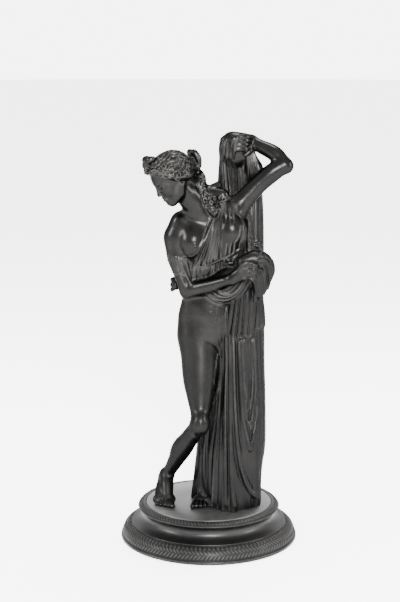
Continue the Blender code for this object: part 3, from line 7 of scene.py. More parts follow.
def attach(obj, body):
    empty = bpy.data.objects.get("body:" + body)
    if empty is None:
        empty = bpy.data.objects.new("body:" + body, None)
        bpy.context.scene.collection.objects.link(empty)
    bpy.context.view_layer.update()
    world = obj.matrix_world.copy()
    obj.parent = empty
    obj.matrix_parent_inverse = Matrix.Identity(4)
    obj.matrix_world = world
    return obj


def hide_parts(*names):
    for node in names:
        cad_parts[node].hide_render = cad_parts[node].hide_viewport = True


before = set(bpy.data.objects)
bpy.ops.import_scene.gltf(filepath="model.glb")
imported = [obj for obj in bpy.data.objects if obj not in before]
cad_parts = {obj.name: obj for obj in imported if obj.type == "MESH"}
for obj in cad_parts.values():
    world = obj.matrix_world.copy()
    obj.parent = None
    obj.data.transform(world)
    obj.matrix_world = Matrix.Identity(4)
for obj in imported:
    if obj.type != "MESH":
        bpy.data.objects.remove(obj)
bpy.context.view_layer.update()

# The figure is modelled in its own millimetres, on a grid of signed distances; its pose and cloth are below.
figureSizes = {
    "grid": 0.66,           # fineness of the modelling, mm
    "triangles": 190000,
    "groundZ": 35.4,        # top of the round ground, mm
    "groundRadius": 62.5,
    "groundThickness": 4.0,
    "groundSides": 256,
}


def emptyGroup(name):
    group = bpy.data.collections.new(name)
    bpy.context.scene.collection.children.link(group)
    return group


statuette = emptyGroup("bronzeStatuette")
studio = emptyGroup("studio")


def vec(*a):
    return np.array(a, float)


def unit(v):
    v = np.asarray(v, float)
    return v / np.linalg.norm(v)


def spline(points, n):
    knots = np.asarray(points, float)
    knots = np.vstack([2 * knots[0] - knots[1], knots, 2 * knots[-1] - knots[-2]])
    out = []
    for s in np.linspace(0, len(knots) - 3 - 1e-6, n):
        i = int(s)
        t = s - i
        a, b, c, d = knots[i:i + 4]
        bend, twist = 2 * a - 5 * b + 4 * c - d, 3 * b - a - 3 * c + d
        out.append(0.5 * (2 * b + (c - a) * t + bend * t * t + twist * t ** 3))
    return np.array(out)


class Clay:
    # Signed distances in millimetres on a regular grid.
    def __init__(self, low, high, step, far=14.0):
        self.step = step
        self.low = np.asarray(low, float)
        self.shape = tuple(int(math.ceil((h - l) / step)) + 1 for l, h in zip(low, high))
        self.axes = [np.float32(l + step * np.arange(n)) for l, n in zip(low, self.shape)]
        self.field = np.full(self.shape, far, np.float32)

    def window(self, low, high):
        spans = []
        for i in range(3):
            a = min(max(0, int((low[i] - self.low[i]) / self.step)), self.shape[i] - 1)
            b = min(self.shape[i], int((high[i] - self.low[i]) / self.step) + 2)
            spans.append(slice(a, max(a + 1, b)))
        x, y, z = (self.axes[i][spans[i]] for i in range(3))
        return tuple(spans), x[:, None, None], y[None, :, None], z[None, None, :]

    def merge(self, spans, d, blend, cut=False):
        f = self.field[spans]
        if cut:
            d = -d
            if blend > 0:
                h = np.maximum(blend - np.abs(f - d), 0)
                self.field[spans] = np.maximum(f, d) + h * h * (0.25 / blend)
            else:
                self.field[spans] = np.maximum(f, d)
        elif blend > 0:
            h = np.maximum(blend - np.abs(f - d), 0)
            self.field[spans] = np.minimum(f, d) - h * h * (0.25 / blend)
        else:
            self.field[spans] = np.minimum(f, d)

    def chain(self, pts, radii, blend=1.5, cut=False, flat=None, smooth=0):
        # A bent bar through points; flat = (direction, factor) squashes it.
        knots = np.array([np.asarray(p, float) for p in pts])
        widths = np.array(radii, float) if hasattr(radii, "__len__") else np.full(len(knots), float(radii))
        if len(widths) != len(knots):
            widths = np.interp(np.linspace(0, 1, len(knots)), np.linspace(0, 1, len(widths)), widths)
        if smooth:
            smoothed = spline(np.hstack([knots, widths[:, None]]), smooth)
            knots, widths = smoothed[:, :3], np.maximum(smoothed[:, 3], 0.05)
        m = widths.max() + blend + 2 * self.step + 1.0
        spans, x, y, z = self.window(knots.min(0) - m, knots.max(0) + m)
        temp = np.full((x.shape[0], y.shape[1], z.shape[2]), 99.0, np.float32)
        if flat is not None:
            u, k = unit(flat[0]), flat[1]
        for a, b, ra, rb in zip(knots[:-1], knots[1:], widths[:-1], widths[1:]):
            mm = max(ra, rb) + blend + 2 * self.step + 1.0
            lo, hi = np.minimum(a, b) - mm, np.maximum(a, b) + mm
            sub = []
            for i in range(3):
                base = self.low[i] + spans[i].start * self.step
                s0 = max(0, int((lo[i] - base) / self.step))
                s1 = min(temp.shape[i], int((hi[i] - base) / self.step) + 2)
                sub.append(slice(s0, s1))
            if any(s.stop <= s.start for s in sub):
                continue
            xs, ys, zs = x[sub[0]], y[:, sub[1]], z[:, :, sub[2]]
            d = b - a
            n = float(d @ d) + 1e-9
            px, py, pz = xs - a[0], ys - a[1], zs - a[2]
            h = (px * d[0] + py * d[1] + pz * d[2]) / n
            if flat is not None:
                t = np.clip(h, 0, 1)
                qx, qy, qz = px - t * d[0], py - t * d[1], pz - t * d[2]
                s = (qx * u[0] + qy * u[1] + qz * u[2]) * (k - 1.0)
                qx, qy, qz = qx + s * u[0], qy + s * u[1], qz + s * u[2]
                dist = (np.sqrt(qx * qx + qy * qy + qz * qz) - (ra + (rb - ra) * t)) / math.sqrt(k)
            else:
                off = np.maximum(px * px + py * py + pz * pz - h * h * n, 0)
                tilt = (ra - rb) / math.sqrt(max(n - (ra - rb) ** 2, 0.05 * n) * n)
                t = np.clip(h - np.sqrt(off) * tilt, 0, 1)
                dist = np.sqrt(off + (h - t) ** 2 * n) - (ra + (rb - ra) * t)
            sub = tuple(sub)
            temp[sub] = np.minimum(temp[sub], dist)
        self.merge(spans, temp, blend, cut)

    def limb(self, a, b, ra, rb, blend=2.0):
        self.chain([a, b], [ra, rb], blend)

    def egg(self, c, r, blend=2.0, axes=None, cut=False):
        c = np.asarray(c, float)
        r = np.asarray(r, float) * np.ones(3)
        basis = np.eye(3) if axes is None else np.asarray(axes, float)
        reach = np.sqrt(((basis * r[:, None]) ** 2).sum(0)) + blend + 2 * self.step + 1.0
        spans, x, y, z = self.window(c - reach, c + reach)
        px, py, pz = x - c[0], y - c[1], z - c[2]
        k0, k1 = 0, 0
        for i in range(3):
            q = px * basis[i, 0] + py * basis[i, 1] + pz * basis[i, 2]
            k0 = k0 + (q / r[i]) ** 2
            k1 = k1 + (q / r[i] ** 2) ** 2
        k0 = np.sqrt(k0)
        self.merge(spans, k0 * (k0 - 1.0) / (np.sqrt(k1) + 1e-6), blend, cut)

    def surface(self, pts, toward, reach=160.0, start=-90.0):
        # Moves points along a direction to the first place where the clay begins.
        pts = np.asarray(pts, float)
        d = unit(toward)
        t = np.arange(start, reach, self.step)
        q = pts[:, None, :] + t[None, :, None] * d
        idx = np.round((q - self.low) / self.step).astype(int)
        ok = np.all((idx >= 0) & (idx < np.array(self.shape)), axis=-1)
        idx = np.clip(idx, 0, np.array(self.shape) - 1)
        f = np.where(ok, self.field[idx[..., 0], idx[..., 1], idx[..., 2]], 9.0)
        hit = f < 0
        first = np.where(hit.any(1), hit.argmax(1), -1)
        out = []
        for i, k in enumerate(first):
            if k <= 0:
                out.append(None)
                continue
            f0, f1 = f[i, k - 1], f[i, k]
            out.append(pts[i] + d * (t[k - 1] + f0 / (f0 - f1 + 1e-9) * self.step))
        return out

    def lay(self, hits, dirs, radii, blend, sink, cut, jump=7.0, calm=2, about=(0, 0, 0)):
        # a run that starts or ends at a step in the form is tapered there
        run, rad, push, broken = [], [], [], False
        for h, u, r in list(zip(hits, dirs, radii)) + [(None, None, 0)]:
            if h is None or (run and np.linalg.norm(run[-1] - h) > jump):
                if len(run) > 2:
                    ease = np.ones(len(run))
                    if broken:
                        ease[:4] = (0.2, 0.45, 0.7, 0.9)[:min(4, len(run))]
                    if u is not None:
                        ease[-3:] = np.minimum(ease[-3:], (0.85, 0.55, 0.25)[-min(3, len(run)):])
                    rad = np.array(rad) * ease
                    spots, pushed = np.array(run) - about, np.array(push)
                    depth = (spots * pushed).sum(1)
                    side = spots - pushed * depth[:, None]
                    padded = np.pad(depth, calm, mode="edge")
                    depth = sum(padded[i:i + len(depth)] for i in range(2 * calm + 1)) / (2 * calm + 1)
                    self.chain(side + pushed * (depth + sink * np.array(rad))[:, None] + about, rad, blend, cut)
                broken = u is not None
                run, rad, push = [], [], []
            if h is not None:
                run.append(h)
                rad.append(r)
                push.append(u)

    def stroke(self, path, r0, r1=None, toward=(0, 1, 0), blend=0.8, sink=0.0, cut=False, n=14, taper=True,
            start=-90.0):
        # A ridge or a groove laid on the clay as seen from one side.
        knots = np.asarray(path, float)
        if knots.shape[1] == 2:
            knots = np.stack([knots[:, 0], np.zeros(len(knots)), knots[:, 1]], 1)
        line = spline(knots, n)
        hits = self.surface(line, toward, start=start)
        r1 = r0 if r1 is None else r1
        s = np.linspace(0, 1, n)
        rr = r0 + (r1 - r0) * s
        if taper:
            rr = rr * np.clip(np.minimum(s, 1 - s) * 5 + 0.3, 0, 1)
        self.lay(hits, [unit(toward)] * n, rr, blend, sink, cut)

    def around(self, path, radii, axis, blend=1.5, sink=0.2, cut=False, n=30, jump=9.0, rise=0.0, fade=0.0):
        # A ridge or a groove laid round a column. path: (degrees, height); axis: its place in plan.
        line = spline(path, n)
        hits, outward = [], []
        for a, z in line:
            u = vec(math.cos(math.radians(a)), math.sin(math.radians(a)), 0)
            h = self.surface([vec(axis[0], axis[1], z) + u * 62], -u, reach=60.0, start=0.0)[0]
            hits.append(h)
            outward.append(u)
        s = np.linspace(0, 1, n)
        widths = np.interp(s, np.linspace(0, 1, len(radii)), radii)
        widths = widths * np.clip(np.minimum(s / max(rise, 1e-6), (1 - s) / max(fade, 1e-6)), 0.2, 1)
        self.lay(hits, [-u for u in outward], widths, blend, sink, cut, jump, 3, vec(axis[0], axis[1], 0))

    def wrap(self, centre, ways, radii, blend=0.6, sink=0.2, cut=False):
        # A ridge or a groove laid over a rounded form, along directions from its centre.
        hits = [self.surface([centre + u * 40], -u, reach=40.0, start=0.0)[0] for u in ways]
        widths = np.interp(np.linspace(0, 1, len(ways)), np.linspace(0, 1, len(radii)), radii)
        self.lay(hits, [-u for u in ways], widths, blend, sink, cut, 6.0, 2, centre)

    def fan(self, top, bottom, count, r0, r1, blend=0.8, sink=0.0, cut=False, seed=3, n=14, mid=None,
            taper=True):
        # A family of strokes between two edge curves, a little uneven in place and size.
        rnd = np.random.default_rng(seed)
        stray = 0.22
        tops, bottoms = spline(top, 61), spline(bottom, 61)
        middles = spline(mid, 61) if mid is not None else (tops + bottoms) / 2
        for k in range(count):
            i = int(round(60 * np.clip((k + 0.5 + rnd.uniform(-stray, stray)) / count, 0, 1)))
            f = 1 + rnd.uniform(-stray, stray)
            self.stroke([tops[i], middles[i], bottoms[i]], r0 * f, r1 * f, (0, 1, 0), blend, sink, cut, n,
                taper)

    def loft(self, levels, folds, blend=2.0, floor=-1e9, ceiling=1e9, hem=None):
        # A column of cloth. levels: (z, axis x, axis y, twelve radii from +X every 30 degrees towards +Y).
        # folds(angle, z) gives the height of the folds over that surface.
        layers = sorted(levels, key=lambda v: v[0])
        zs = np.array([v[0] for v in layers])
        z0, z1 = max(zs[0], floor), min(zs[-1], ceiling)
        cx = np.array([v[1] for v in layers])
        cy = np.array([v[2] for v in layers])
        table = np.array([v[3] for v in layers], float)
        rmax = table.max() + 8
        spans, x, y, z = self.window((cx.min() - rmax, cy.min() - rmax, z0 - 6),
            (cx.max() + rmax, cy.max() + rmax, z1 + 6))
        zz = np.clip(z.ravel(), zs[0], zs[-1])
        ang = np.linspace(0, 2 * math.pi, 360, endpoint=False)
        # periodic cubic through the twelve radii
        u = ang / (2 * math.pi) * 12
        i = np.floor(u).astype(int)
        t = u - i
        g = lambda k: table[:, (i + k) % 12]
        bend = 2 * g(-1) - 5 * g(0) + 4 * g(1) - g(2)
        twist = 3 * g(0) - g(-1) - 3 * g(1) + g(2)
        spread = 0.5 * (2 * g(0) + (g(1) - g(-1)) * t + bend * t ** 2 + twist * t ** 3)
        # smooth steps between levels
        k = np.clip(np.searchsorted(zs, zz, side="right") - 1, 0, len(zs) - 2)
        s = (zz - zs[k]) / (zs[k + 1] - zs[k])
        def along(v):
            v = np.asarray(v)
            m = np.gradient(v, zs, axis=0)
            h = zs[k + 1] - zs[k]
            if v.ndim == 2:
                ss, hh = s[:, None], h[:, None]
            else:
                ss, hh = s, h
            return ((2 * ss ** 3 - 3 * ss ** 2 + 1) * v[k] + (ss ** 3 - 2 * ss ** 2 + ss) * hh * m[k]
                    + (-2 * ss ** 3 + 3 * ss ** 2) * v[k + 1] + (ss ** 3 - ss ** 2) * hh * m[k + 1])
        ax, ay, rad = along(cx), along(cy), along(spread)
        turns, heights = np.meshgrid(ang, zz)
        rad = rad + folds(turns, heights)
        rad = np.maximum(rad, 0.5)
        dr = (np.roll(rad, -1, 1) - np.roll(rad, 1, 1)) / (2 * 2 * math.pi / 360)
        slope = 1 / np.sqrt(1 + np.minimum((dr / np.maximum(rad, 1)) ** 2, 9))
        out = np.empty((x.shape[0], y.shape[1], z.shape[2]), np.float32)
        for n in range(z.shape[2]):
            px, py = x[:, :, 0] - ax[n], y[:, :, 0] - ay[n]
            r = np.sqrt(px * px + py * py)
            a = np.mod(np.arctan2(py, px), 2 * math.pi) * (360 / (2 * math.pi))
            a0 = np.floor(a).astype(int) % 360
            f = a - np.floor(a)
            a1 = (a0 + 1) % 360
            skin = rad[n, a0] * (1 - f) + rad[n, a1] * f
            lean = slope[n, a0] * (1 - f) + slope[n, a1] * f
            d = (r - skin) * lean
            lim = max(z0 - z.ravel()[n], z.ravel()[n] - z1)
            if hem is not None:
                hems = hem(ang, zz[n])
                hz = hems[a0] - z.ravel()[n]
                d = np.maximum(d, hz)
            out[:, :, n] = np.maximum(d, lim)
        self.merge(spans, out, blend)


def surfaceNets(f, low, step):
    # the skin at distance 0: a point in each cell that it crosses, joined by quads
    s = f < 0
    nx, ny, nz = f.shape
    c = np.zeros((nx - 1, ny - 1, nz - 1), np.uint8)
    for dx in (0, 1):
        for dy in (0, 1):
            for dz in (0, 1):
                c += s[dx:nx - 1 + dx, dy:ny - 1 + dy, dz:nz - 1 + dz]
    cells = np.argwhere((c > 0) & (c < 8))
    index = np.full(c.shape, -1, np.int32)
    index[tuple(cells.T)] = np.arange(len(cells))
    acc = np.zeros((len(cells), 3))
    cnt = np.zeros(len(cells))
    corners = [(a, b, d) for a in (0, 1) for b in (0, 1) for d in (0, 1)]
    vals = {k: f[tuple((cells + k).T)] for k in corners}
    for axis in range(3):
        for k in corners:
            if k[axis] == 1:
                continue
            a, b = vals[k], vals[tuple(k[i] + (i == axis) for i in range(3))]
            cross = (a < 0) != (b < 0)
            p = np.array(k, float)[None, :].repeat(len(cells), 0)
            p[:, axis] += np.where(cross, a / np.where(a == b, 1, a - b), 0)
            acc += p * cross[:, None]
            cnt += cross
    verts = (cells + acc / cnt[:, None]) * step + np.asarray(low)
    quads = []
    for axis in range(3):
        s0, s1 = [slice(None)] * 3, [slice(None)] * 3
        s0[axis], s1[axis] = slice(0, -1), slice(1, None)
        a, b = s[tuple(s0)], s[tuple(s1)]
        e = np.argwhere(a != b)
        o1, o2 = (axis + 1) % 3, (axis + 2) % 3
        e = e[(e[:, o1] > 0) & (e[:, o2] > 0) & (e[:, o1] < f.shape[o1] - 1) & (e[:, o2] < f.shape[o2] - 1)]
        inside = a[tuple(e.T)]

        def cell(d1, d2):
            q = e.copy()
            q[:, o1] -= d1
            q[:, o2] -= d2
            return index[tuple(q.T)]
        q = np.stack([cell(1, 1), cell(0, 1), cell(0, 0), cell(1, 0)], 1)
        quads.append(np.where(inside[:, None], q, q[:, ::-1]))
    return verts, np.vstack(quads)


def joined(bits):
    # how many groups these corners of a cell make along its edges
    near = {i: [i ^ 1, i ^ 2, i ^ 4] for i in range(8)}
    todo = set(bits)
    parts = 0
    while todo:
        parts += 1
        stack = [todo.pop()]
        while stack:
            for k in near[stack.pop()]:
                if k in todo:
                    todo.discard(k)
                    stack.append(k)
    return parts


def tidyField(f, rounds=40):
    # fills the corners where the skin would pinch, so it closes everywhere
    pinch = np.zeros(256, bool)
    for m in range(256):
        inside = [i for i in range(8) if m >> i & 1]
        outside = [i for i in range(8) if not m >> i & 1]
        pinch[m] = joined(inside) > 1 or joined(outside) > 1
    corners = [(i & 1, i >> 1 & 1, i >> 2 & 1) for i in range(8)]
    nx, ny, nz = f.shape
    for _ in range(rounds):
        s = f < 0
        code = np.zeros((nx - 1, ny - 1, nz - 1), np.uint8)
        for i, (a, b, c) in enumerate(corners):
            code |= s[a:nx - 1 + a, b:ny - 1 + b, c:nz - 1 + c].astype(np.uint8) << i
        bad = np.argwhere(pinch[code])
        if not len(bad):
            break
        vals = np.stack([f[tuple((bad + c).T)] for c in np.array(corners)], 1)
        vals = np.where(vals < 0, 99, vals)
        pick = np.array(corners)[vals.argmin(1)]
        f[tuple((bad + pick).T)] = -0.02


def biggest(verts, quads):
    # the largest connected piece of the skin
    lab = np.arange(len(verts))
    a = quads[:, [0, 1, 2, 3]].ravel()
    b = quads[:, [1, 2, 3, 0]].ravel()
    while True:
        m = np.minimum(lab[a], lab[b])
        new = lab.copy()
        np.minimum.at(new, a, m)
        np.minimum.at(new, b, m)
        new = new[new]
        new = new[new]
        if (new == lab).all():
            break
        lab = new
    ids, count = np.unique(lab, return_counts=True)
    keep = lab == ids[count.argmax()]
    index = np.cumsum(keep) - 1
    return verts[keep], index[quads[keep[quads[:, 0]]]]


groundZ = figureSizes["groundZ"]
# the joints of the pose, mm
j = dict(pelvis=vec(3, 4, 208), waist=vec(-1, 3, 246), chest=vec(-4, 3, 292), neck=vec(-6, 1, 330),
    hipR=vec(-13, 0, 201), kneeR=vec(-9.0, -31, 123), ankleR=vec(-42.3, 10, 59), ballR=vec(-44.3, -10, 39.5),
    hipL=vec(19, 6, 205), kneeL=vec(14, -4, 122), ankleL=vec(3, 14, 50), ballL=vec(-5, -13, 38),
    shoulderR=vec(-31, 0, 303), elbowR=vec(-20.5, -7, 251.8), wristR=vec(21, -32, 266.5),
    knuckR=vec(35, -34, 276.5), shoulderL=vec(24, 2, 328), elbowL=vec(73.5, 4, 371.5),
    wristL=vec(41, 21, 393.5), knuckL=vec(26, 25, 397), head=vec(-35.3, -16, 361.5))


def axesAlong(d, side=(1, 0, 0)):
    w = unit(d)
    u = unit(np.cross(side, w))
    return np.stack([u, np.cross(w, u), w])


def torso(c):
    c.egg((1.5, 4, 211), (30.5, 19, 26), 2)
    c.egg((-12, 12, 197), (16.5, 15.5, 18), 8)
    c.egg((19, 13, 202), (17, 15.5, 18), 8)
    c.egg((3, -5, 226), (21, 14.5, 28), 8)
    c.egg((-5.5, -1, 231), (22.3, 15, 23), 6)
    c.egg((-14, 2, 222), (15.8, 15, 16), 6)
    t = math.radians(8)
    basis = [[math.cos(t), 0, math.sin(t)], [0, 1, 0], [-math.sin(t), 0, math.cos(t)]]
    c.egg(j["waist"], (21.5, 15, 27), 10, basis)
    c.egg(j["chest"], (25.5, 17, 36), 10, basis)
    c.egg((-4, -1, 313), (27, 12.5, 15), 8, basis)
    c.limb(j["shoulderR"] + vec(5, 1, 3), j["neck"] + vec(0, 2, -5), 9, 11.5, 8)
    c.limb(j["shoulderL"] + vec(-5, 1, -1), j["neck"] + vec(0, 2, -5), 9, 11.5, 8)
    c.limb(j["shoulderR"] + vec(4, 4, 4), j["neck"] + vec(0, 4, 8), 5.5, 7.5, 8)
    c.limb(j["shoulderL"] + vec(-4, 4, 3), j["neck"] + vec(0, 4, 8), 5.5, 7.5, 8)
    c.egg((-20, 0, 315), (14, 11, 11.5), 6)
    c.egg((-27, -2, 317.5), (10.5, 10, 10.5), 6)
    c.egg((-20, 14, 300), (10, 5, 15), 8)
    c.egg((14, 14, 308), (10, 5, 15), 8)
    # breasts
    c.egg((-15.2, -10.2, 299.5), (13.8, 14.2, 14.6), 10)
    c.egg((21.5, -10.6, 310.5), (13.8, 14.8, 15.2), 9)
    c.egg((-13.5, -25.1, 297.8), (1.3, 1.3, 1.3), 1.2)
    # spine
    c.chain([(1, 26, 225), (-2, 21.5, 250), (-6, 23.5, 285), (-6, 21.5, 318)], [3.2, 3.4, 3.2, 2], 7, cut=True,
        smooth=12)
    # navel, and the line between belly and thigh
    c.egg((2, -21.5, 234), (1.3, 2.5, 1.7), 1.5, cut=True)


def thigh(c, blend, less=0.0):
    path = [vec(-11, 0, 204), vec(-8.4, -4, 185), vec(-8.3, -10, 165), vec(-8.4, -16.5, 149),
        vec(-8.4, -24, 134), vec(-9.0, -30, 122)]
    c.chain(path, np.array([19.2, 19.0, 17.2, 13.4, 9.6, 7.8]) - less, blend, smooth=24)


def legs(c):
    thigh(c, 8)
    c.limb(j["hipL"], j["kneeL"], 17.5, 9.5, 4)
    k, a = j["kneeR"], j["ankleR"]
    c.egg(k + vec(0.8, -1.0, 1), (7.4, 9.4, 11), 6)
    back = unit(vec(-0.75, 0.75, -0.1))
    c.chain([k, k + (a - k) * 0.30 + back * 1.5, k + (a - k) * 0.62 + back * 0.9,
        k + (a - k) * 0.88 + back * -0.4, a], [7.7, 9.0, 8.4, 6.6, 6.2], 5, smooth=18)
    c.egg(k + (a - k) * 0.46 + back * 4.2, (7.8, 8.4, 14), 6, axesAlong(a - k))
    # shin edge
    front = unit(vec(-0.2, -1, -0.4))
    c.chain([k + (a - k) * 0.15 + front * 6.5, k + (a - k) * 0.5 + front * 5.3,
        k + (a - k) * 0.85 + front * 3.2], [3, 2.6, 2.2], 4)


def arms(c):
    s, e, w = j["shoulderR"], j["elbowR"], j["wristR"]
    c.egg(s, (12.4, 12, 14), 6)
    c.chain([s + vec(0, 0, -2), s + (e - s) * 0.35 + vec(-1.8, 0, 0), s + (e - s) * 0.7 + vec(-0.6, 0, 0), e],
        [11.6, 12.0, 9.8, 7.6], 5, smooth=18)
    c.chain([e, e + (w - e) * 0.3 + vec(0, 0, -1.2), e + (w - e) * 0.65 + vec(0, 0, -1.2), w],
        [7.8, 7.6, 6.5, 5.3], 4, smooth=18)
    c.egg(e + vec(-1.5, 3.0, -2.5), (5, 4.5, 5), 4)
    s, e, w = j["shoulderL"], j["elbowL"], j["wristL"]
    c.egg(s + vec(1, 0, 1), (12, 11.5, 12), 6)
    c.chain([s, s + (e - s) * 0.45 + vec(0, 0, 4.4), s + (e - s) * 0.75 + vec(-1, 0, 3.6), e + vec(-2, 0, 0)],
        [10.2, 8.9, 9.2, 8.0], 4, smooth=18)
    c.chain([e, e + (w - e) * 0.35 + vec(1.5, 0, 3.2), e + (w - e) * 0.75 + vec(0, 0, 1.4), w],
        [7.0, 7.7, 6.6, 6.2], 4, smooth=18)
    c.egg(e + vec(2.4, -1, -0.5), (4.4, 4.8, 4.8), 4)


def rightHand(c):
    # Gripping the cloth: palm, four curled fingers and the thumb.
    w, k = j["wristR"], j["knuckR"]
    c.chain([w, (w + k) / 2 + vec(0.5, 0, 0.5), k], [5.6, 6.0, 5.6], 3)
    c.egg((w + k) / 2 + vec(2.0, -1, 0.5), (8.5, 4.2, 6.6), 3, axesAlong(k - w, (0, 1, 0))[[2, 1, 0]])
    a = unit(k - w)
    for i in range(4):
        q = k + vec(0.5, -2.5, 4.2 - i * 3.6) + a * (1.5 - 0.4 * abs(i - 1.2))
        mid = q + vec(6.5 - i * 0.6, -2.2, 0.2 - 0.9 * i)
        tip = mid + vec(2.5, 3.5, -5.0 - 0.2 * i)
        c.chain([q - a * 3, q, mid, tip], [2.7, 2.6 - i * 0.1, 2.35 - i * 0.1, 1.9 - i * 0.08], 0.7, smooth=9)
    c.chain([w + vec(5, -3, 5.5), k + vec(-2, -4.5, 6.5), k + vec(5.5, -3.5, 6.8)], [2.8, 2.6, 1.9], 1.2,
        smooth=6)


def leftHand(c):
    # Raised over the head, the cloth gathered in a dome under the fingers.
    c.egg((27.2, 21, 385.2), (17.0, 12.5, 17.6), 3)
    c.egg((21.0, 21, 388.0), (9.5, 9, 14.4), 4)
    w = j["wristL"]
    c.chain([w, (35, 18, 395.5), (32, 14, 394)], [6.2, 6.0, 5.2], 3)
    for i in range(4):
        z = 398.0 - 3.9 * i
        c.chain([(41 - 0.6 * i, 15, z - 1.5), (36 - 0.5 * i, 8.6, z + 0.8), (28.5 - 0.3 * i, 6.6, z + 0.6),
            (22.5 + 0.4 * i, 8.2, z - 1.8), (22.0 + 0.7 * i, 10.5, z - 4.0)], [2.4, 2.5, 2.35, 2.1, 1.7], 0.6,
            smooth=16)
    c.chain([(42, 14, 389), (39.5, 8.5, 385), (35.0, 7.0, 381.5)], [2.6, 2.4, 1.9], 0.9, smooth=8)
    # the gathered edge of the cloth in front of the fingers
    for k in range(4):
        x = 14.5 + 3.4 * k
        c.stroke([(x + 3.0, 399.5 - 0.8 * (3 - k)), (x + 0.3, 391), (x - 0.8, 378)], 1.5, 1.2, blend=1.0,
            sink=0.1, n=16)


def neck(c):
    c.limb(j["neck"] + vec(1, 0, -6), j["head"] + vec(7, 3, -8), 12, 11, 6)
    c.chain([(-15, -10, 350), (-10, -12.5, 338), (-6, -13, 327)], [3.2, 2.8, 2.2], 5)


# the head is turned over the shoulder, bowed and a little tilted
headYaw, headPitch, headRoll = math.radians(66), math.radians(30), math.radians(4)


def headFrame():
    f = vec(-math.sin(headYaw) * math.cos(headPitch), -math.cos(headYaw) * math.cos(headPitch),
        -math.sin(headPitch))
    u = unit(vec(0, 0, 1) - f * f[2])
    l = np.cross(u, f)
    r = headRoll
    return j["head"], np.stack([l * math.cos(r) + u * math.sin(r), f, u * math.cos(r) - l * math.sin(r)])


def head(c):
    o, axes = headFrame()
    at = lambda *p: o + np.asarray(p, float) @ axes

    def egg(p, r, blend, cut=False):
        c.egg(at(*p), r, blend, axes, cut)
    egg((0, -1.5, 5.5), (15.2, 19.0, 17.4), 3)
    egg((0, 5.5, -4), (12.2, 12.2, 17), 5)
    egg((0, 5.0, -11), (10.2, 10, 9.5), 5)
    egg((0, 12.2, -18.4), (4.4, 3.8, 3.6), 4)
    egg((0, 7.6, 8), (12.2, 9.2, 9), 4)
    for s in (-1, 1):
        c.chain([at(12.0 * s, -1, -7), at(9.8 * s, 4, -14.5), at(3.5 * s, 12, -19.2)], [3.2, 3.2, 3.0], 5)
        egg((7.2 * s, 10.6, -5), (5, 4.4, 5.6), 5)
        c.chain([at(1.6 * s, 16.2, 3.4), at(5.4 * s, 16.1, 4.3), at(9.6 * s, 13.4, 3.4)], [1.2, 1.3, 1.1], 2.5)
        egg((5.8 * s, 17.6, -0.2), (3.6, 2.6, 2.4), 2.2, cut=True)
        egg((5.9 * s, 12.6, -0.4), (3.5, 3.2, 2.9), 0.6)
        c.chain([at(2.9 * s, 14.9, -0.7), at(5.8 * s, 16.3, 1.35), at(9.0 * s, 13.6, -0.5)], [0.45, 0.6, 0.4],
            0.5)
        c.chain([at(3.1 * s, 14.8, -1.1), at(5.8 * s, 15.5, -2.0), at(8.8 * s, 13.5, -0.9)], [0.4, 0.5, 0.4],
            0.7)
        egg((1.9 * s, 17.3, -7.4), (1.5, 1.9, 1.3), 0.9)
        egg((14.2 * s, -2.5, -2.5), (1.8, 3.4, 5), 1.5)
        egg((15.4 * s, -2.2, -2.4), (1.0, 1.9, 3.1), 1.0, cut=True)
    c.chain([at(0, 15.8, 4.5), at(0, 17.6, 0), at(0, 19.7, -6.2)], [1.7, 1.35, 1.7], 2.0)
    egg((0, 19.6, -6.9), (1.7, 1.7, 1.4), 1.0)
    egg((0, 13.5, -12.4), (5.0, 4.0, 4.2), 3)
    for s in (-1, 1):
        c.chain([at(0.5 * s, 17.6, -11.3), at(2.3 * s, 17.0, -11.8), at(4.2 * s, 15.3, -12.6)],
            [0.95, 0.9, 0.4], 0.9)
        c.chain([at(0, 17.2, -14.0), at(2.0 * s, 16.7, -13.9), at(3.9 * s, 15.2, -13.0)], [1.15, 1.0, 0.4], 0.9)
        c.chain([at(0, 18.4, -12.7), at(2.2 * s, 17.6, -12.7), at(4.4 * s, 15.6, -12.8)], [0.5, 0.45, 0.3], 0.5,
            cut=True)


def hairCap(c):
    o, axes = headFrame()
    at = lambda *p: o + np.asarray(p, float) @ axes
    c.egg(at(0, -3.2, 6.6), (16.6, 20.2, 18.4), 1.0, axes)
    c.egg(at(0, 24.5, -11), (12.5, 9.8, 21.5), 1.0, axes, cut=True)


def curl(c, centre, out, along, size, thick, turn, start, sunk=0.3):
    # A flat spiral of hair lying on the surface at a point.
    out = unit(out)
    a = unit(along - out * (along @ out))
    b = np.cross(out, a)
    pts = []
    for i in range(9):
        t = i / 8
        q = start + turn * t * 4.6
        r = size * (1 - 0.62 * t)
        pts.append(centre + (a * math.cos(q) + b * math.sin(q)) * r + out * (0.55 * t * thick - sunk))
    c.chain(pts, [thick * 0.7, thick, thick, thick * 0.9], 0.5, smooth=14)


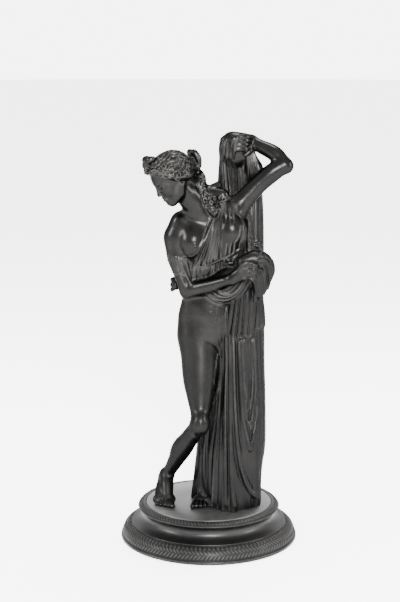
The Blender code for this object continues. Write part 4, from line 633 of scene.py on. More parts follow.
def hair(c):
    # Parted in the middle, swept back in wavy strands to a low knot, with curls round the face.
    o, axes = headFrame()
    at = lambda *p: o + np.asarray(p, float) @ axes
    rnd = np.random.default_rng(11)
    middle = at(0, -2.0, 4.0)

    def way(roll, tilt):
        # roll: degrees from the parting down one side; tilt: from the forehead to the back
        p, q = math.radians(roll), math.radians(tilt)
        return vec(math.sin(q) * math.sin(p), math.cos(q), math.sin(q) * math.cos(p)) @ axes

    def hairline(roll):
        return np.interp(roll, [0, 60, 88, 106], [38, 52, 73, 100])
    for s in (-1, 1):
        path = [at(0.8 * s, 15.4, 17.6), at(7.0 * s, 13.4, 16.2), at(12.3 * s, 8.6, 11.6),
            at(15.4 * s, 2.0, 5.0), at(16.2 * s, -6.0, -0.6), at(11.8 * s, -15.5, -4.0),
            at(4.5 * s, -21.0, -3.0)]
        c.chain(path, [2.4, 3.2, 4.0, 4.4, 4.2, 3.8, 3.4], 2.0, smooth=26)
        n = 10
        for k in range(n):
            roll = 4 + 96 * k / (n - 1)
            t0 = hairline(roll) + 1
            wave0 = rnd.uniform(0, 6)
            swept, between = [], []
            for i in range(26):
                t = i / 25
                tilt = t0 + (156 - t0) * t
                swing = (3.6 + 2.0 * t) * (0.35 + t)
                swept.append(way((roll + swing * math.sin(tilt / 6.2 + wave0)) * s, tilt))
                between.append(way((roll - 4.8 + swing * math.sin(tilt / 6.2 + wave0 + 0.4)) * s, tilt))
            r = 1.25
            c.wrap(middle, swept, [r * 0.8, r, r, r * 0.8], 0.6, 0.1)
            if k:
                c.wrap(middle, between, [0.4, 0.6, 0.6, 0.5], 0.5, -0.2, True)
        rows, count = 3, 9
        for row in range(rows):
            for k in range(count):
                roll = 3 + (k + 0.5 * (row % 2)) * 104 / count + rnd.uniform(-2, 2)
                u = way(roll * s, hairline(roll) - 3 + row * 10.5 + rnd.uniform(-1.5, 1.5))
                h = c.surface([middle + u * 40], -u, reach=40.0, start=0.0)[0]
                if h is not None:
                    curl(c, h, u, axes[2], rnd.uniform(2.4, 3.2), 1.0, s * (1 if (k + row) % 2 else -1),
                        rnd.uniform(0, 6), 0.0)
    # two short loops tied over the parting
    for s in (-1, 1):
        c.chain([at(0.6 * s, 10.0, 22.5), at(4.2 * s, 12.8, 27.4), at(7.0 * s, 10.0, 27.8),
            at(4.6 * s, 6.6, 25.2)], [2.5, 3.3, 3.0, 2.2], 1.0, smooth=10)
        for k in range(3):
            curl(c, at((3.2 + 1.8 * k) * s, 13.8 - 1.5 * k, 26.8 + 1.4 * (k % 2)),
                axes[0] * s * 0.6 + axes[1] * 0.6 + axes[2] * 0.4, axes[2], 2.0, 0.8, s, k * 2.0, 0.0)
    c.egg(at(0, 13.6, 23.5), (4.6, 4.8, 5.4), 1.6, axes)
    c.egg(at(0, 8.0, 23.0), (6.6, 6.0, 4.0), 2.0, axes)
    c.chain([at(0, 16.2, 21), at(0, 17.4, 24.4), at(1.0, 15.2, 28.2), at(0.6, 12.0, 29.2)],
        [2.2, 2.5, 2.1, 1.6], 1.0, smooth=9)
    # knot at the back of the head, two loops tied across
    c.egg(at(0, -24.2, 1.4), (7.0, 6.8, 8.6), 2.5, axes)
    for s in (-1, 1):
        c.chain([at(1.2 * s, -26, 5.0), at(4.8 * s, -30.0, 10.5), at(7.0 * s, -30.4, 4.0),
            at(4.4 * s, -28.4, -3.5)], [2.4, 3.1, 3.2, 2.6], 0.9, smooth=10)
        c.chain([at(2.0 * s, -29.2, 3.0), at(5.8 * s, -33.0, 8.2), at(8.6 * s, -31.6, 4.6)], [0.6, 0.7, 0.6],
            0.5, cut=True, smooth=8)
        curl(c, at(6.5 * s, -27.5, -1.5), axes[0] * s * 0.8 - axes[1] * 0.4, axes[2], 2.2, 0.85, s, 1.0, 0.2)
    c.chain([at(-2.8, -30.5, 2.6), at(0, -32.0, 4.2), at(2.8, -30.5, 6.2)], [1.9, 2.3, 1.9], 0.7)
    # hair low on the nape, and the lock that falls to the left shoulder
    c.chain([at(0, -15, -6), (-10, 6, 352), (-4, 5, 341)], [9, 8, 7], 4, smooth=8)
    lock = [at(5, -21, -3), vec(-9.3, -2, 361), vec(-8.6, -4.5, 351), vec(-5.0, -8.0, 342),
        vec(0.5, -11.0, 334), vec(5.0, -13.0, 327)]
    c.chain(lock, [5.0, 6.0, 6.4, 6.2, 5.4, 3.4], 1.8, smooth=20)
    line = spline(lock, 40)
    for k in range(20):
        i0 = int(1 + k * (37 / 20))
        q0, q1 = line[i0], line[min(i0 + 2, 39)]
        ax = unit(q1 - q0 + vec(0, 0, -1e-3))
        side = 1 if k % 2 else -1
        nrm = unit(vec(0.62 * side - 0.1, -0.8, 0.1))
        curl(c, q0 + nrm * np.interp(i0, [0, 12, 30, 40], [5.0, 6.3, 5.6, 3.4]), nrm, ax, 2.7, 1.1, side,
            k * 1.3, 0.1)
    for x, z in ((2, 338), (6.5, 335), (8.5, 330), (12.0, 336.5), (0.5, 331), (5.5, 340), (10.5, 341),
            (4.0, 333), (-2.0, 335), (14.5, 340.5), (-3.5, 341), (0.5, 343.5)):
        h = c.surface([vec(x, 0, z)], (0, 1, 0))[0]
        curl(c, h, vec(0.1, -1, 0.45), vec(0, 0, 1), 2.5, 0.95, 1 if x > 5 else -1, x, 0.0)


def foot(c, ankle, ball, toeDir, lift, side):
    # side = +1 when the big toe is on the viewer's right.
    t = unit(vec(toeDir[0], toeDir[1], 0))
    s = vec(-t[1], t[0], 0) * side
    if s @ vec(1, 0, 0) * side < 0:
        s = -s
    heel = ankle - t * 7.5 + vec(0, 0, -lift) - s * 0.8 * (lift < 7)
    c.chain([ankle, ankle - t * 3 + vec(0, 0, -3) - s * 0.8, heel - s * 1.2], [6.2, 6.8, 6.4], 4)
    c.chain([ankle + t * 1, (ankle + ball) / 2 + s * 1.5 + vec(0, 0, 2.5), ball + s * 3.6 + vec(0, 0, 1)],
        [6.2, 6.6, 4.8], 4, smooth=7)
    c.chain([heel, (heel + ball) / 2 - s * 4, ball - s * 6], [6.4, 5.8, 3.8], 4, smooth=7)
    c.chain([ball - s * 8, ball + s * 7], [3.6, 4.4], 3)
    for i in range(5):
        r = 2.7 - 0.28 * i
        a = ball + s * (7.6 - i * 3.8) + t * 2
        length = 12.0 - i * 1.9
        b, e = a + t * length * 0.55, a + t * length
        b[2] = groundZ + r + 1.2
        e[2] = groundZ + r * 0.7
        c.chain([a, b, e], [r + 0.4, r * 0.9, r], 0.7, smooth=6)


def wave(phase, sharp=0.55):
    # Rounded ridges with narrow valleys, 0 to 1.
    low = 0.02 ** (sharp / 2)
    return ((np.sin(math.pi * phase) ** 2 + 0.02) ** (sharp / 2) - low) / (1.01 - low)


def cloak(c):
    # Skirt and hanging cloak as one column of cloth.
    levels = [
        (34, 20, 2, [29.6, 36, 40, 39, 38, 40, 33, 26.5, 32.0, 38.5, 36, 35]),
        (60, 20, 2, [31.4, 35, 39, 37, 35, 35.5, 31.0, 28, 30.0, 35, 36, 35]),
        (90, 20, 2, [35.9, 36, 37, 34.5, 31.5, 31.5, 29.2, 28.5, 27.5, 32, 35, 36]),
        (120, 20, 2, [36.2, 35.5, 36, 33, 29.5, 30, 28.0, 25, 22, 29.5, 33, 35]),
        (150, 20, 2, [35.7, 35, 35, 31.5, 28, 28, 26, 20, 16.5, 26.5, 31, 33.5]),
        (180, 20, 2, [34.8, 34.5, 34.5, 31, 28, 27, 22, 17, 13.5, 24, 28.5, 31.5]),
        (209, 20, 2, [34.4, 34.5, 34, 31, 29, 27, 19, 15, 13, 21.5, 26, 30]),
        (235, 22, 5, [30.4, 31, 28, 27, 26, 26, 22, 12, 12, 14, 18, 26]),
        (262, 26, 10, [27, 26, 22, 19, 20.5, 25, 26, 12, 10, 10, 12, 20]),
        (300, 27, 14, [25.5, 22.5, 16.5, 13.5, 16, 22, 26, 13, 9, 9, 10, 16]),
        (328, 27, 18, [25, 18, 12, 11, 13, 17.5, 21, 12, 8, 7, 8, 15]),
        (345, 27, 21, [23.8, 14, 9.5, 8.5, 10, 14.5, 18.2, 11, 7.5, 6.5, 7.5, 14]),
        (362, 26, 22, [19, 10.5, 7.5, 7, 8, 12, 16.4, 11, 8, 7, 8, 12]),
        (385, 25, 22, [14, 9.5, 7.5, 7, 7.5, 10.5, 14.2, 11.5, 9, 8, 8, 10]),
        (400, 25, 22, [12, 9, 7, 6.5, 7, 10, 13, 10, 8, 7.5, 7, 9]),
    ]

    def folds(a, z):
        s = a / (2 * math.pi)
        n = 25.0
        whole = 2 * math.pi * s
        drift = (0.10 * np.sin(z / 61.0 + 7 * whole) + 0.18 * np.sin(z / 33.0 + 2.0) * np.sin(2 * whole)) / n
        warp = 0.018 * np.sin(3 * whole + 1.0) + 0.012 * np.sin(5 * whole + 2.4) + 0.005 * np.sin(9 * whole)
        phase = (s + warp + drift) * n
        k = np.floor(phase)
        amp = 0.75 + 0.35 * np.sin(k * 2.4 + 0.7) + 0.18 * np.sin(z / 40.0 + k * 1.7)
        size = np.interp(z, [34, 120, 209, 262, 330, 397], [3.8, 3.2, 2.5, 2.4, 2.2, 1.9])
        h = wave(phase, 0.62) * amp * size
        h = h + 0.35 * np.sin(2 * math.pi * phase * 2 + z / 25.0) * (size / 3)
        # less folded where the cloth lies on the right, under the long loops
        d = np.abs(np.mod(a - math.radians(318) + math.pi, 2 * math.pi) - math.pi)
        calm = np.exp(-(d / 0.80) ** 6) * np.clip((z - 44) / 30, 0, 1) * np.clip((225 - z) / 20, 0, 1)
        return (h - size * 0.5) * (1 - 0.85 * calm)
    c.loft(levels, folds, 2.5, floor=groundZ - 1.5, ceiling=397)


def longFolds(c):
    # Loops hanging from the hip on the right of the skirt, and straight folds beside them.
    axis = (20, 2)
    # the loops, from the innermost: left strand down to the tip, then up the right strand
    loops = [(302, 319, 137, 306, 2.3), (297, 322, 116, 306, 1.9), (292, 325, 96, 306, 2.5)]
    for a0, a1, zb, ab, w in loops:
        c.around([(a0 - 1, 206), (a0, 180), (a0 + (ab - a0) * 0.25, zb + 34), (ab - 4, zb + 11), (ab, zb),
            (ab + 4, zb + 11), (a1 - 2, zb + 36), (a1 + 1, 205)], [w * 0.9, w, w * 1.1, w, w * 0.8], axis,
            blend=1.2, sink=0.1, n=48)
    # the long line that swings out to the right above the ground
    c.around([(278, 207), (279, 160), (282, 124), (285, 100), (291, 76), (300, 63), (309, 55), (319, 48)],
        [2.2, 2.4, 2.6, 2.4, 1.6], axis, blend=1.3, sink=0.15, n=44, fade=0.2)
    c.around([(289, 78), (298, 60), (313, 48), (328, 42)], [1.6, 2.2, 1.6], axis, blend=1.3, sink=0.35, n=26,
        rise=0.3, fade=0.3)
    # straight folds in front
    for pts, w in [([(270, 208), (271, 150), (273, 100), (275, 60), (278, 38)], 2.4),
            ([(260, 206), (261, 150), (263, 105), (264, 60), (265, 38)], 2.7),
            ([(249, 200), (250, 150), (252, 105), (253, 70), (254, 38)], 2.4),
            ([(238, 170), (240, 130), (242, 90), (243, 60), (242, 38)], 2.2),
            ([(226, 126), (228, 95), (229, 62), (229, 46)], 2.2),
            ([(212, 112), (211, 85), (210, 60), (212, 42)], 2.2),
            ([(196, 108), (195, 85), (194, 60), (196, 40)], 2.0),
            ([(182, 106), (182, 80), (182, 56), (182, 38)], 2.0)]:
        c.around(pts, [w * 0.8, w, w], axis, blend=1.4, sink=0.4, n=24, jump=18,
            rise=0.45 if pts[0][1] < 180 else 0.0)
    for a0, a1, zb, ab, w in loops:
        a0, a1, zb = a0 + 3.2, a1 - 3.0, zb + 10
        if a1 - a0 > 9:
            c.around([(a0 - 1, 205), (a0, 180), (a0 + (ab - a0) * 0.28, zb + 34), (ab - 2.5, zb + 9), (ab, zb),
                (ab + 2.5, zb + 9), (a1 - 1, zb + 34), (a1, 203)], [1.0, 1.3, 1.3, 1.0], axis, blend=0.8,
                sink=-0.1, cut=True, n=48)
    for pts in ([(274.5, 206), (275.5, 150), (278, 110), (281, 88), (289, 66), (303, 50)],
            [(265, 206), (266, 150), (268, 100), (269.5, 60), (271, 38)],
            [(255, 200), (256, 150), (257.5, 100), (259, 60), (260, 38)],
            [(244, 185), (245, 130), (247, 90), (248, 60), (248, 38)],
            [(233, 150), (235, 100), (236, 60), (236, 38)], [(220, 116), (220, 85), (220, 60), (222, 44)],
            [(204, 110), (203, 85), (202, 60), (204, 44)], [(189, 106), (189, 80), (188, 60), (189, 40)],
            [(285, 204), (286, 150), (289, 112), (294, 90)], [(334, 204), (335, 150), (334, 100), (332, 70)]):
        c.around(pts, [0.9, 1.2, 1.2], axis, blend=0.9, sink=-0.2, cut=True, n=26, jump=18,
            rise=0.35 if pts[0][1] < 180 else 0.0, fade=0.15)


def recess(c):
    # The deep hollow between the bare leg and the edge of the skirt.
    c.stroke([(-8, 204.5), (1, 202), (8, 196), (11.5, 186)], 0.6, 1.3, blend=1.6, sink=-0.2, cut=True, n=20)
    c.chain([(13.5, -20, 197), (13.2, -18.5, 184), (12.4, -18, 171), (10.8, -18, 157), (9.0, -20, 141),
        (6.5, -24, 126)], [0.7, 2.0, 3.3, 4.4, 4.6, 2.6], 3.0, cut=True, smooth=24)


def tunic(c):
    # Thin cloth over the chest: left breast covered, right bare.
    c.egg((18, -8.5, 297), (14.5, 12.5, 17), 6)
    spans, x, y, z = c.window((-46, -40, 238), (50, 30, 345))
    a, b = np.array([12.5, 339.0]), np.array([-7.5, 300.0])
    ab = unit(b - a)
    dab = -(x - a[0]) * ab[1] + (z - a[1]) * ab[0]
    e = unit(np.array([-34.0, 286.5]) - b)
    dbe = -(x - b[0]) * e[1] + (z - b[1]) * e[0]
    m = np.maximum(dab, dbe * 0.25)
    mask = (np.clip(m / 0.9, 0, 1) * np.clip((10 - y) / 4, 0, 1) * np.clip((340 - z) / 4, 0, 1)
        * np.clip((z - 252) / 6, 0, 1) * (1 - np.clip((-24 - x) / 3, 0, 1)) * np.clip((44 - x) / 4, 0, 1))
    c.field[spans] -= (mask * 1.2).astype(np.float32)
    c.stroke([(10, 339), (3, 327), (-3.5, 311), (-8, 298), (-11, 290.5), (-17, 286.5), (-24, 286)], 1.0, 0.35,
        blend=0.8, sink=0.2, n=24, taper=False)
    n = 10
    mid = [(-4, 304), (2, 306), (7, 307), (12, 309)]
    c.chain([(-6, 4, 338.5), (3, 4, 343.5), (13, 1, 343.0)], [6.5, 7.4, 6.8], 4)
    c.chain([(-2, 7, 346), (4, 7, 349.5), (9, 8, 352.5)], [3.0, 4.2, 3.6], 3, smooth=8)
    c.fan([(9, 336), (12, 338), (15, 339)], [(-18, 273), (-8, 273), (2, 277), (13, 283)], n, 0.8, 1.4,
        blend=1.0, sink=0.05, seed=5, mid=mid)
    c.fan([(18, 339), (21, 337), (24, 334)], [(27, 290), (33, 295), (39, 300)], 5, 0.8, 1.5, blend=1.0,
        sink=0.05, seed=9, mid=[(31, 318), (35, 320), (39, 321)])
    for x in (15, 19, 23):
        c.stroke([(x * 0.7 + 5, 337), (x, 328), (x + 1, 319)], 0.9, 0.4, blend=1.2, sink=0.0, n=12)
    for x in (16, 20, 24):
        c.stroke([(x, 287 + (x - 16) * 0.4), (x + 0.5, 294), (x + 1.0, 300)], 0.8, 0.4, blend=1.2, sink=0.0,
            n=10)
    c.stroke([(25, 300), (29, 308), (30, 318)], 0.7, 0.7, blend=1.0, sink=0.2, n=14)
    c.fan([(8.5, 333), (11, 335), (14, 336)], [(-15, 275), (-5, 276), (4, 279), (14, 284)], n - 1, 0.6, 0.8,
        blend=0.6, sink=-0.1, cut=True, seed=6, mid=[(-2, 304), (3, 306), (8, 307), (12, 309)])


def girdle(c):
    # The high belt: two cords with gathered cloth between them, and a knot.
    up = [(-28, 276), (-8, 275.5), (12, 283.5), (24, 290), (35, 298)]
    low = [(-26, 264.5), (-8, 263.8), (10, 269.5), (24, 276.5), (36, 287)]
    mid = [((a[0] + b[0]) / 2, (a[1] + b[1]) / 2) for a, b in zip(up, low)]
    c.stroke(mid, 6.6, 6.6, blend=3, sink=0.52, n=22, taper=False)
    c.fan(up, low, 20, 0.85, 0.85, blend=0.5, sink=0.2, seed=8, n=7, taper=False)
    c.fan(up, low, 17, 0.6, 0.6, blend=0.5, sink=-0.1, cut=True, seed=12, n=7, taper=False)
    c.stroke(up, 1.1, 1.1, blend=0.5, sink=0.0, n=26, taper=False)
    c.stroke(low, 1.1, 1.1, blend=0.5, sink=0.0, n=26, taper=False)
    for path in ([(21, 281), (16, 285), (15, 279), (20, 280)], [(21, 281), (27, 287), (28, 281), (21, 280)],
            [(21, 280), (18, 274), (17, 269)], [(21, 280), (24, 275), (26, 271)]):
        c.stroke(path, 1.2, 1.0, blend=0.6, sink=0.0, n=12, taper=False)
    c.stroke([(19.5, 280.5), (22.5, 280.5)], 2.0, 2.0, blend=0.6, sink=0.1, n=3, taper=False)


def swag(c):
    # Cloth sagging under the forearm.
    t = math.radians(24)
    basis = [[math.cos(t), 0, math.sin(t)], [0, 1, 0], [-math.sin(t), 0, math.cos(t)]]
    c.egg((20, -15, 259), (26, 10.5, 16.5), 3, basis)
    lows = [(-8, 252), (0, 243.5), (10, 238.5), (22, 240), (33, 248), (43, 262)]
    n = 6
    for k in range(n):
        s = k / float(n)
        pts = [(x + (19 + 3 * math.sin(k * 2.2) - x) * 0.42 * s, z + s * 17 + 0.8 * math.sin(k * 1.7 + i))
            for i, (x, z) in enumerate(lows)]
        r = 1.25 + 0.3 * math.sin(k * 2.0)
        c.stroke(pts, r, r * 0.9, blend=0.9, sink=0.1, n=24)
    for k in range(n - 1):
        s = (k + 0.5) / float(n)
        pts = [(x + (19 - x) * 0.42 * s, z + s * 17) for x, z in lows]
        c.stroke(pts, 0.55, 0.55, blend=0.6, sink=-0.2, cut=True, n=24)


def overfold(c):
    # The short fold of the tunic over the left hip, with a zigzag hem.
    levels = [(200, 33, -1, [21.5, 24, 24, 20, 18, 16, 16, 20.5, 23.0, 22.5, 21.5, 20.5]),
         (222, 33, -1, [21.0, 24, 24, 20, 18, 16, 15, 19.5, 22.0, 21.5, 20.5, 20.0]),
         (246, 32, -2, [20.5, 22, 22, 20, 18, 14, 13, 16.0, 18.5, 19, 19, 19]),
         (268, 32, -2, [18.0, 20, 20, 18, 16, 10, 9, 9.0, 12, 14, 15, 16])]
    n = 19.0

    def phase(a, z):
        s = a / (2 * math.pi)
        warp = 0.012 * np.sin(8 * math.pi * s + 0.6) + 0.002 * np.sin(z / 11.0)
        return (s + warp - 0.0011 * (z - 204)) * n

    def folds(a, z):
        p = phase(a, z)
        size = np.interp(z, [200, 262], [2.9, 1.6])
        return (wave(p, 0.7) - 0.5) * size * (0.85 + 0.25 * np.sin(np.floor(p) * 2.1))

    def hem(a, z):
        p = phase(a, z)
        tri = np.abs(2 * (p / 2 - np.floor(p / 2)) - 1)
        back = np.clip(np.sin(a), 0, 1)
        right = np.clip((np.mod(a, 2 * math.pi) - math.radians(288)) / math.radians(60), 0, 1)
        return 206.5 + 5.0 * tri + back * 30 + 9.0 * right
    c.loft(levels, folds, 0.9, hem=hem)


def bunch(c):
    # Cloth thrown over the right hand, falling at the left hip.
    c.chain([(33, -28, 283), (44, -25, 285), (52.2, -19, 280), (53.6, -15, 266), (50.8, -14, 254)],
        [6.5, 8.6, 9.4, 7.4, 5.4], 3, smooth=14)
    c.chain([(46, -22, 270), (48, -21, 258), (48, -20, 250)], [7, 6.2, 4.4], 2.5)
    arcs = [
        ([(33, 272), (39, 279), (45, 277), (47.5, 266), (46.5, 249)], 1.7),
        ([(34, 277), (42, 285), (50, 280), (53, 266), (51.5, 247)], 1.8),
        ([(35, 284), (45, 293), (55, 287), (57.5, 270), (54, 250)], 1.9),
        ([(40, 291), (50, 295.5), (59.8, 287.5), (60.8, 272), (57.8, 256)], 1.7),
    ]
    for pts, w in arcs:
        c.stroke(pts, w, w, toward=(-0.25, 1, 0), blend=0.9, sink=0.1, n=26, start=-60)
    for pts in ([(36, 276), (42, 281.5), (47.5, 277), (50.5, 264), (49, 250)],
            [(38, 281), (46, 287), (53, 281), (55.5, 266), (54, 250)],
            [(43, 286), (50, 291), (57.5, 284), (60, 268), (58, 254)]):
        c.stroke(pts, 0.8, 0.8, toward=(-0.25, 1, 0), blend=0.6, sink=-0.2, cut=True, n=26, start=-60)
    # zigzag ends
    for x, y, z0, z1, r in [(58.5, -13, 264, 254, 2.0), (54.5, -16, 260, 249.5, 2.2),
            (50, -19, 256, 245.5, 2.3), (45.5, -21, 254, 243, 2.2)]:
        c.chain([(x, y, z0), (x - 0.8, y, (z0 + z1) / 2), (x - 1.5, y + 0.5, z1)], [r, r, r * 0.6], 0.9)


def upperCloth(c):
    # The free end that hangs over the raised arm.
    c.chain([(39, 14, 388), (41.0, 14, 380), (44.6, 14, 369), (45.6, 16, 358)], [3.4, 4.8, 7.0, 5.6], 2,
        smooth=10, flat=((0, 1, 0), 1.6))
    c.egg((47.6, 11.5, 366.5), (5.2, 4.6, 8.5), 2)
    for x in (38.6, 42.2, 45.8, 49.0):
        c.chain([(x * 0.4 + 22.5, 12, 388), (x * 0.8 + 6.4, 9.8, 377), (x, 9.8, 366), (x - 0.4, 12, 356)],
            [1.2, 1.7, 1.8, 1.3], 0.8, smooth=10)


def sleeve(c):
    # Short sleeve on the right upper arm, and the end of the roll of cloth behind the elbow.
    s, e = j["shoulderR"], j["elbowR"]
    ax = unit(e - s)
    u = unit(np.cross(ax, (0, 1, 0)))
    v = np.cross(ax, u)
    p = s + (e - s) * 0.40
    ring = []
    for q in np.linspace(0, 2 * math.pi, 19):
        rim = (u * math.cos(q) + v * math.sin(q)) * 10.6
        ring.append(p + vec(-1.0, 0, 0) + rim + ax * (4.0 * math.cos(q - 0.3)))
    c.chain(ring, 1.3, 1.4)
    for k in range(9):
        x = -42.0 + k * 2.4
        low = 268 - k * 0.7
        c.stroke([(x, 288 - k * 0.5), (x + 2.0, 280 - k * 0.5), (x + 5.5, low)], 0.8, 1.0, blend=1.0, sink=0.3,
            n=16)
    c.stroke([(-40, 272), (-33, 268), (-26, 268), (-21, 265), (-18, 258)], 1.1, 1.4, blend=1.0, sink=0.0, n=20)
    c.stroke([(-27, 282), (-24, 272), (-20, 264), (-16.5, 257)], 1.2, 1.2, blend=1.2, sink=0.3, n=16)
    c.stroke([(-31, 276), (-28.5, 269), (-25.5, 262), (-22, 256)], 1.0, 1.0, blend=1.2, sink=0.3, n=16)
    c.chain([(-12, 17, 262), (-24, 15, 259), (-32.8, 11, 253.5)], [6.0, 5.6, 5.2], 2, smooth=8)
    for dz in (-3.4, 0, 3.4):
        c.chain([(-14, 21 - abs(dz) * 0.4, 262 + dz), (-25, 18.5 - abs(dz) * 0.4, 259 + dz),
            (-36.2, 12, 253.5 + dz * 1.5)], [1.8, 2.0, 2.1], 0.9, smooth=8)


def backRoll(c):
    # The roll of cloth round the back of the waist.
    path = [vec(-20, 16, 260), vec(-8, 22, 258), vec(6, 27, 256), vec(20, 33, 255), vec(34, 31, 256),
        vec(46, 22, 260), vec(53, 8, 264), vec(54, -4, 268)]
    c.chain(path, [4.5, 5.4, 6.0, 6.0, 6.0, 5.6, 5.0, 4.6], 3, smooth=24)
    for k, dz in enumerate((-4.2, -1.4, 1.4, 4.2)):
        strand = [p + (vec(0, 3.6 - abs(dz) * 0.35, dz + 1.2 * math.sin(i * 1.3 + k))
            if i < 5 else vec(3.0, 2.0, dz)) for i, p in enumerate(path[:-1])]
        c.chain(strand, 1.7, 1.0, smooth=24)


def figureClay(step):
    c = Clay((-74, -66, 28), (92, 66, 412), step)
    for part in (cloak, longFolds, torso, legs, recess):
        part(c)
    thigh(c, 1.8, 0.5)
    for part in (neck, tunic, girdle, swag, overfold, backRoll, arms, upperCloth, sleeve, bunch, hairCap, head,
                 hair, rightHand, leftHand):
        part(c)
    foot(c, j["ankleR"], j["ballR"], (0.02, -1), 5, 1)
    foot(c, j["ankleL"], j["ballL"], (-0.25, -1), 9, -1)
    return c


# Shaders

class Wire:
    # an output socket that takes part in sums
    def __init__(self, finish, socket):
        self.finish, self.socket = finish, socket

    def maths(self, kind, a, b):
        return self.finish.node("ShaderNodeMath", {"operation": kind}, {0: a, 1: b})

    def __add__(self, other):
        return self.maths("ADD", self, other)

    def __radd__(self, other):
        return self.maths("ADD", other, self)

    def __sub__(self, other):
        return self.maths("SUBTRACT", self, other)

    def __mul__(self, other):
        return self.maths("MULTIPLY", self, other)

    def __rsub__(self, other):
        return self.maths("SUBTRACT", other, self)

    def __rmul__(self, other):
        return self.maths("MULTIPLY", other, self)


class Finish:
    # a material being wired up
    def __init__(self, name):
        self.material = bpy.data.materials.new(name)
        self.material.use_nodes = True
        self.tree = self.material.node_tree
        self.shader = self.tree.nodes["Principled BSDF"]

    def node(self, kind, settings=None, sockets=None, out=0):
        made = self.tree.nodes.new(kind)
        for key, value in (settings or {}).items():
            setattr(made, key, value)
        for key, value in (sockets or {}).items():
            self.put(made.inputs[key], value)
        return Wire(self, made.outputs[out])

    def put(self, socket, value):
        if isinstance(value, Wire):
            self.tree.links.new(value.socket, socket)
        elif socket.type == "RGBA" and len(value) == 3:
            socket.default_value = (*value, 1)
        else:
            socket.default_value = value

    def set(self, **values):
        for key, value in values.items():
            self.put(self.shader.inputs[key.replace("_", " ")], value)

    def place(self):
        return self.node("ShaderNodeTexCoord", out=3)

    def noise(self, where, scale, detail, roughness, distortion=0.0):
        sockets = {"Vector": where, "Scale": scale, "Detail": detail, "Roughness": roughness}
        return self.node("ShaderNodeTexNoise", None, {**sockets, "Distortion": distortion})

    def mix(self, share, a, b):
        made = self.tree.nodes.new("ShaderNodeMix")
        made.data_type = "RGBA"
        self.put(made.inputs[0], share)
        self.put(made.inputs[6], a)
        self.put(made.inputs[7], b)
        return Wire(self, made.outputs[2])

    def band(self, value, low, high):
        # 0 below low, 1 above high, a smooth step between
        sockets = {0: value, 1: low, 2: high, 3: 0.0, 4: 1.0}
        return self.node("ShaderNodeMapRange", {"interpolation_type": "SMOOTHSTEP"}, sockets)

    def own(self, name):
        return self.node("ShaderNodeAttribute", {"attribute_name": name}, out=2)

    def bump(self, height, distance, strength):
        sockets = {"Height": height, "Distance": distance, "Strength": strength}
        return self.node("ShaderNodeBump", None, sockets)


# For each casting: its two ground tones, how much the high parts are rubbed pale (worn, and on the dress pleats
# and the plinth's leaves also a painted glint), its roughness, the strength of the sheen at its edges, and how
# much less metallic its hollows of painted shade are.
patina = {
    "paleRubAndGlint": (0.060, 0.0575, 0.0535),
    # near-black tone painted into hollows, creases and gaps between parts as shade
    "hollow": (0.0032, 0.0032, 0.0032),
    "noiseScales": (26.0, 190.0, 1500.0),
    "wax": 0.05,
    "figure": ((0.0076, 0.0076, 0.0076), (0.0116, 0.0112, 0.0106), 0.28, 0.28, 0.3, 0.45),
    "plinth": ((0.017, 0.017, 0.0168), (0.025, 0.0246, 0.024), 0.42, 0.42, 0.7, 0.08),
    "ground": ((0.075, 0.0745, 0.0735), (0.125, 0.1235, 0.1205), 0.4, 0.3, 1.0, 0.45),
}


def agedBronze(name, casting):
    dark, brown, rubAndGlint, polish, edge, shadeMetalDrop = patina[casting]
    f = Finish(name)
    where = f.place()
    ridge, hollow, dull = f.own("ridge"), f.own("hollow"), f.own("dull")
    coarse, middle, fine = patina["noiseScales"]
    broad = f.noise(where, coarse, 4.0, 0.6, 0.4)
    small = f.noise(where, middle, 5.0, 0.65)
    grain = f.noise(where, fine, 3.0, 0.6)
    # dull also moves the tone towards the darker one: painted shade low on the figure and down the hanging
    # cloth
    base = f.mix(f.band(broad + 0.35 * small, 0.48, 0.9) - 0.2 * dull, dark, brown)
    # pale on the ridges: rubbed wear, and on the dress pleats and the plinth's leaves a painted glint as well
    wearAndGlint = f.band(ridge + 0.5 * (small - 0.5) + 0.7 * (broad - 0.5), 0.22, 1.05) * rubAndGlint
    base = f.mix(wearAndGlint, base, patina["paleRubAndGlint"])
    # painted shade: hollows, creases and gaps between parts go towards the near-black tone, and are rougher and
    # less metallic
    sunk = 0.8 * f.band(hollow + 0.2 * (small - 0.5), 0.15, 0.85)
    base = f.mix(sunk, base, patina["hollow"])
    rough = polish + 0.2 * sunk + 0.16 * (small - 0.5) + 0.1 * f.band(ridge, 0.1, 0.8) + 0.13 * dull
    skin = f.bump(grain + 0.8 * small, 0.00006, 0.35)
    f.set(Base_Color=base, Metallic=0.96 - shadeMetalDrop * sunk, Roughness=rough, Normal=skin)
    f.set(Specular_Tint=(edge, edge, edge, 1), Coat_Weight=patina["wax"], Coat_Roughness=0.16, Coat_IOR=1.45)
    return f.material


print("materials")
figureBronze = agedBronze("agedBronzeFigure", "figure")
plinthBronze = agedBronze("agedBronzePlinth", "plinth")
groundBronze = agedBronze("agedBronzeGround", "ground")


def meshFrom(name, verts, faces, material):
    mesh = bpy.data.meshes.new(name)
    mesh.vertices.add(len(verts))
    mesh.vertices.foreach_set("co", np.asarray(verts, np.float32).ravel())
    size = faces.shape[1]
    mesh.loops.add(faces.size)
    mesh.loops.foreach_set("vertex_index", faces.astype(np.int32).ravel())
    mesh.polygons.add(len(faces))
    mesh.polygons.foreach_set("loop_start", np.arange(0, faces.size, size, dtype=np.int32))
    mesh.update(calc_edges=True)
    mesh.materials.append(material)
    mesh.shade_smooth()
    return mesh


def settled(thing):
    # the object's mesh with its modifiers worked in
    graph = bpy.context.evaluated_depsgraph_get()
    mesh = bpy.data.meshes.new_from_object(thing.evaluated_get(graph))
    thing.modifiers.clear()
    thing.data = mesh
    return thing


def give(mesh, **values):
    # what the finish reads at each vertex
    for name, value in values.items():
        layer = mesh.attributes.new(name, "FLOAT", "POINT")
        layer.data.foreach_set("value", np.full(len(mesh.vertices), value, np.float32))


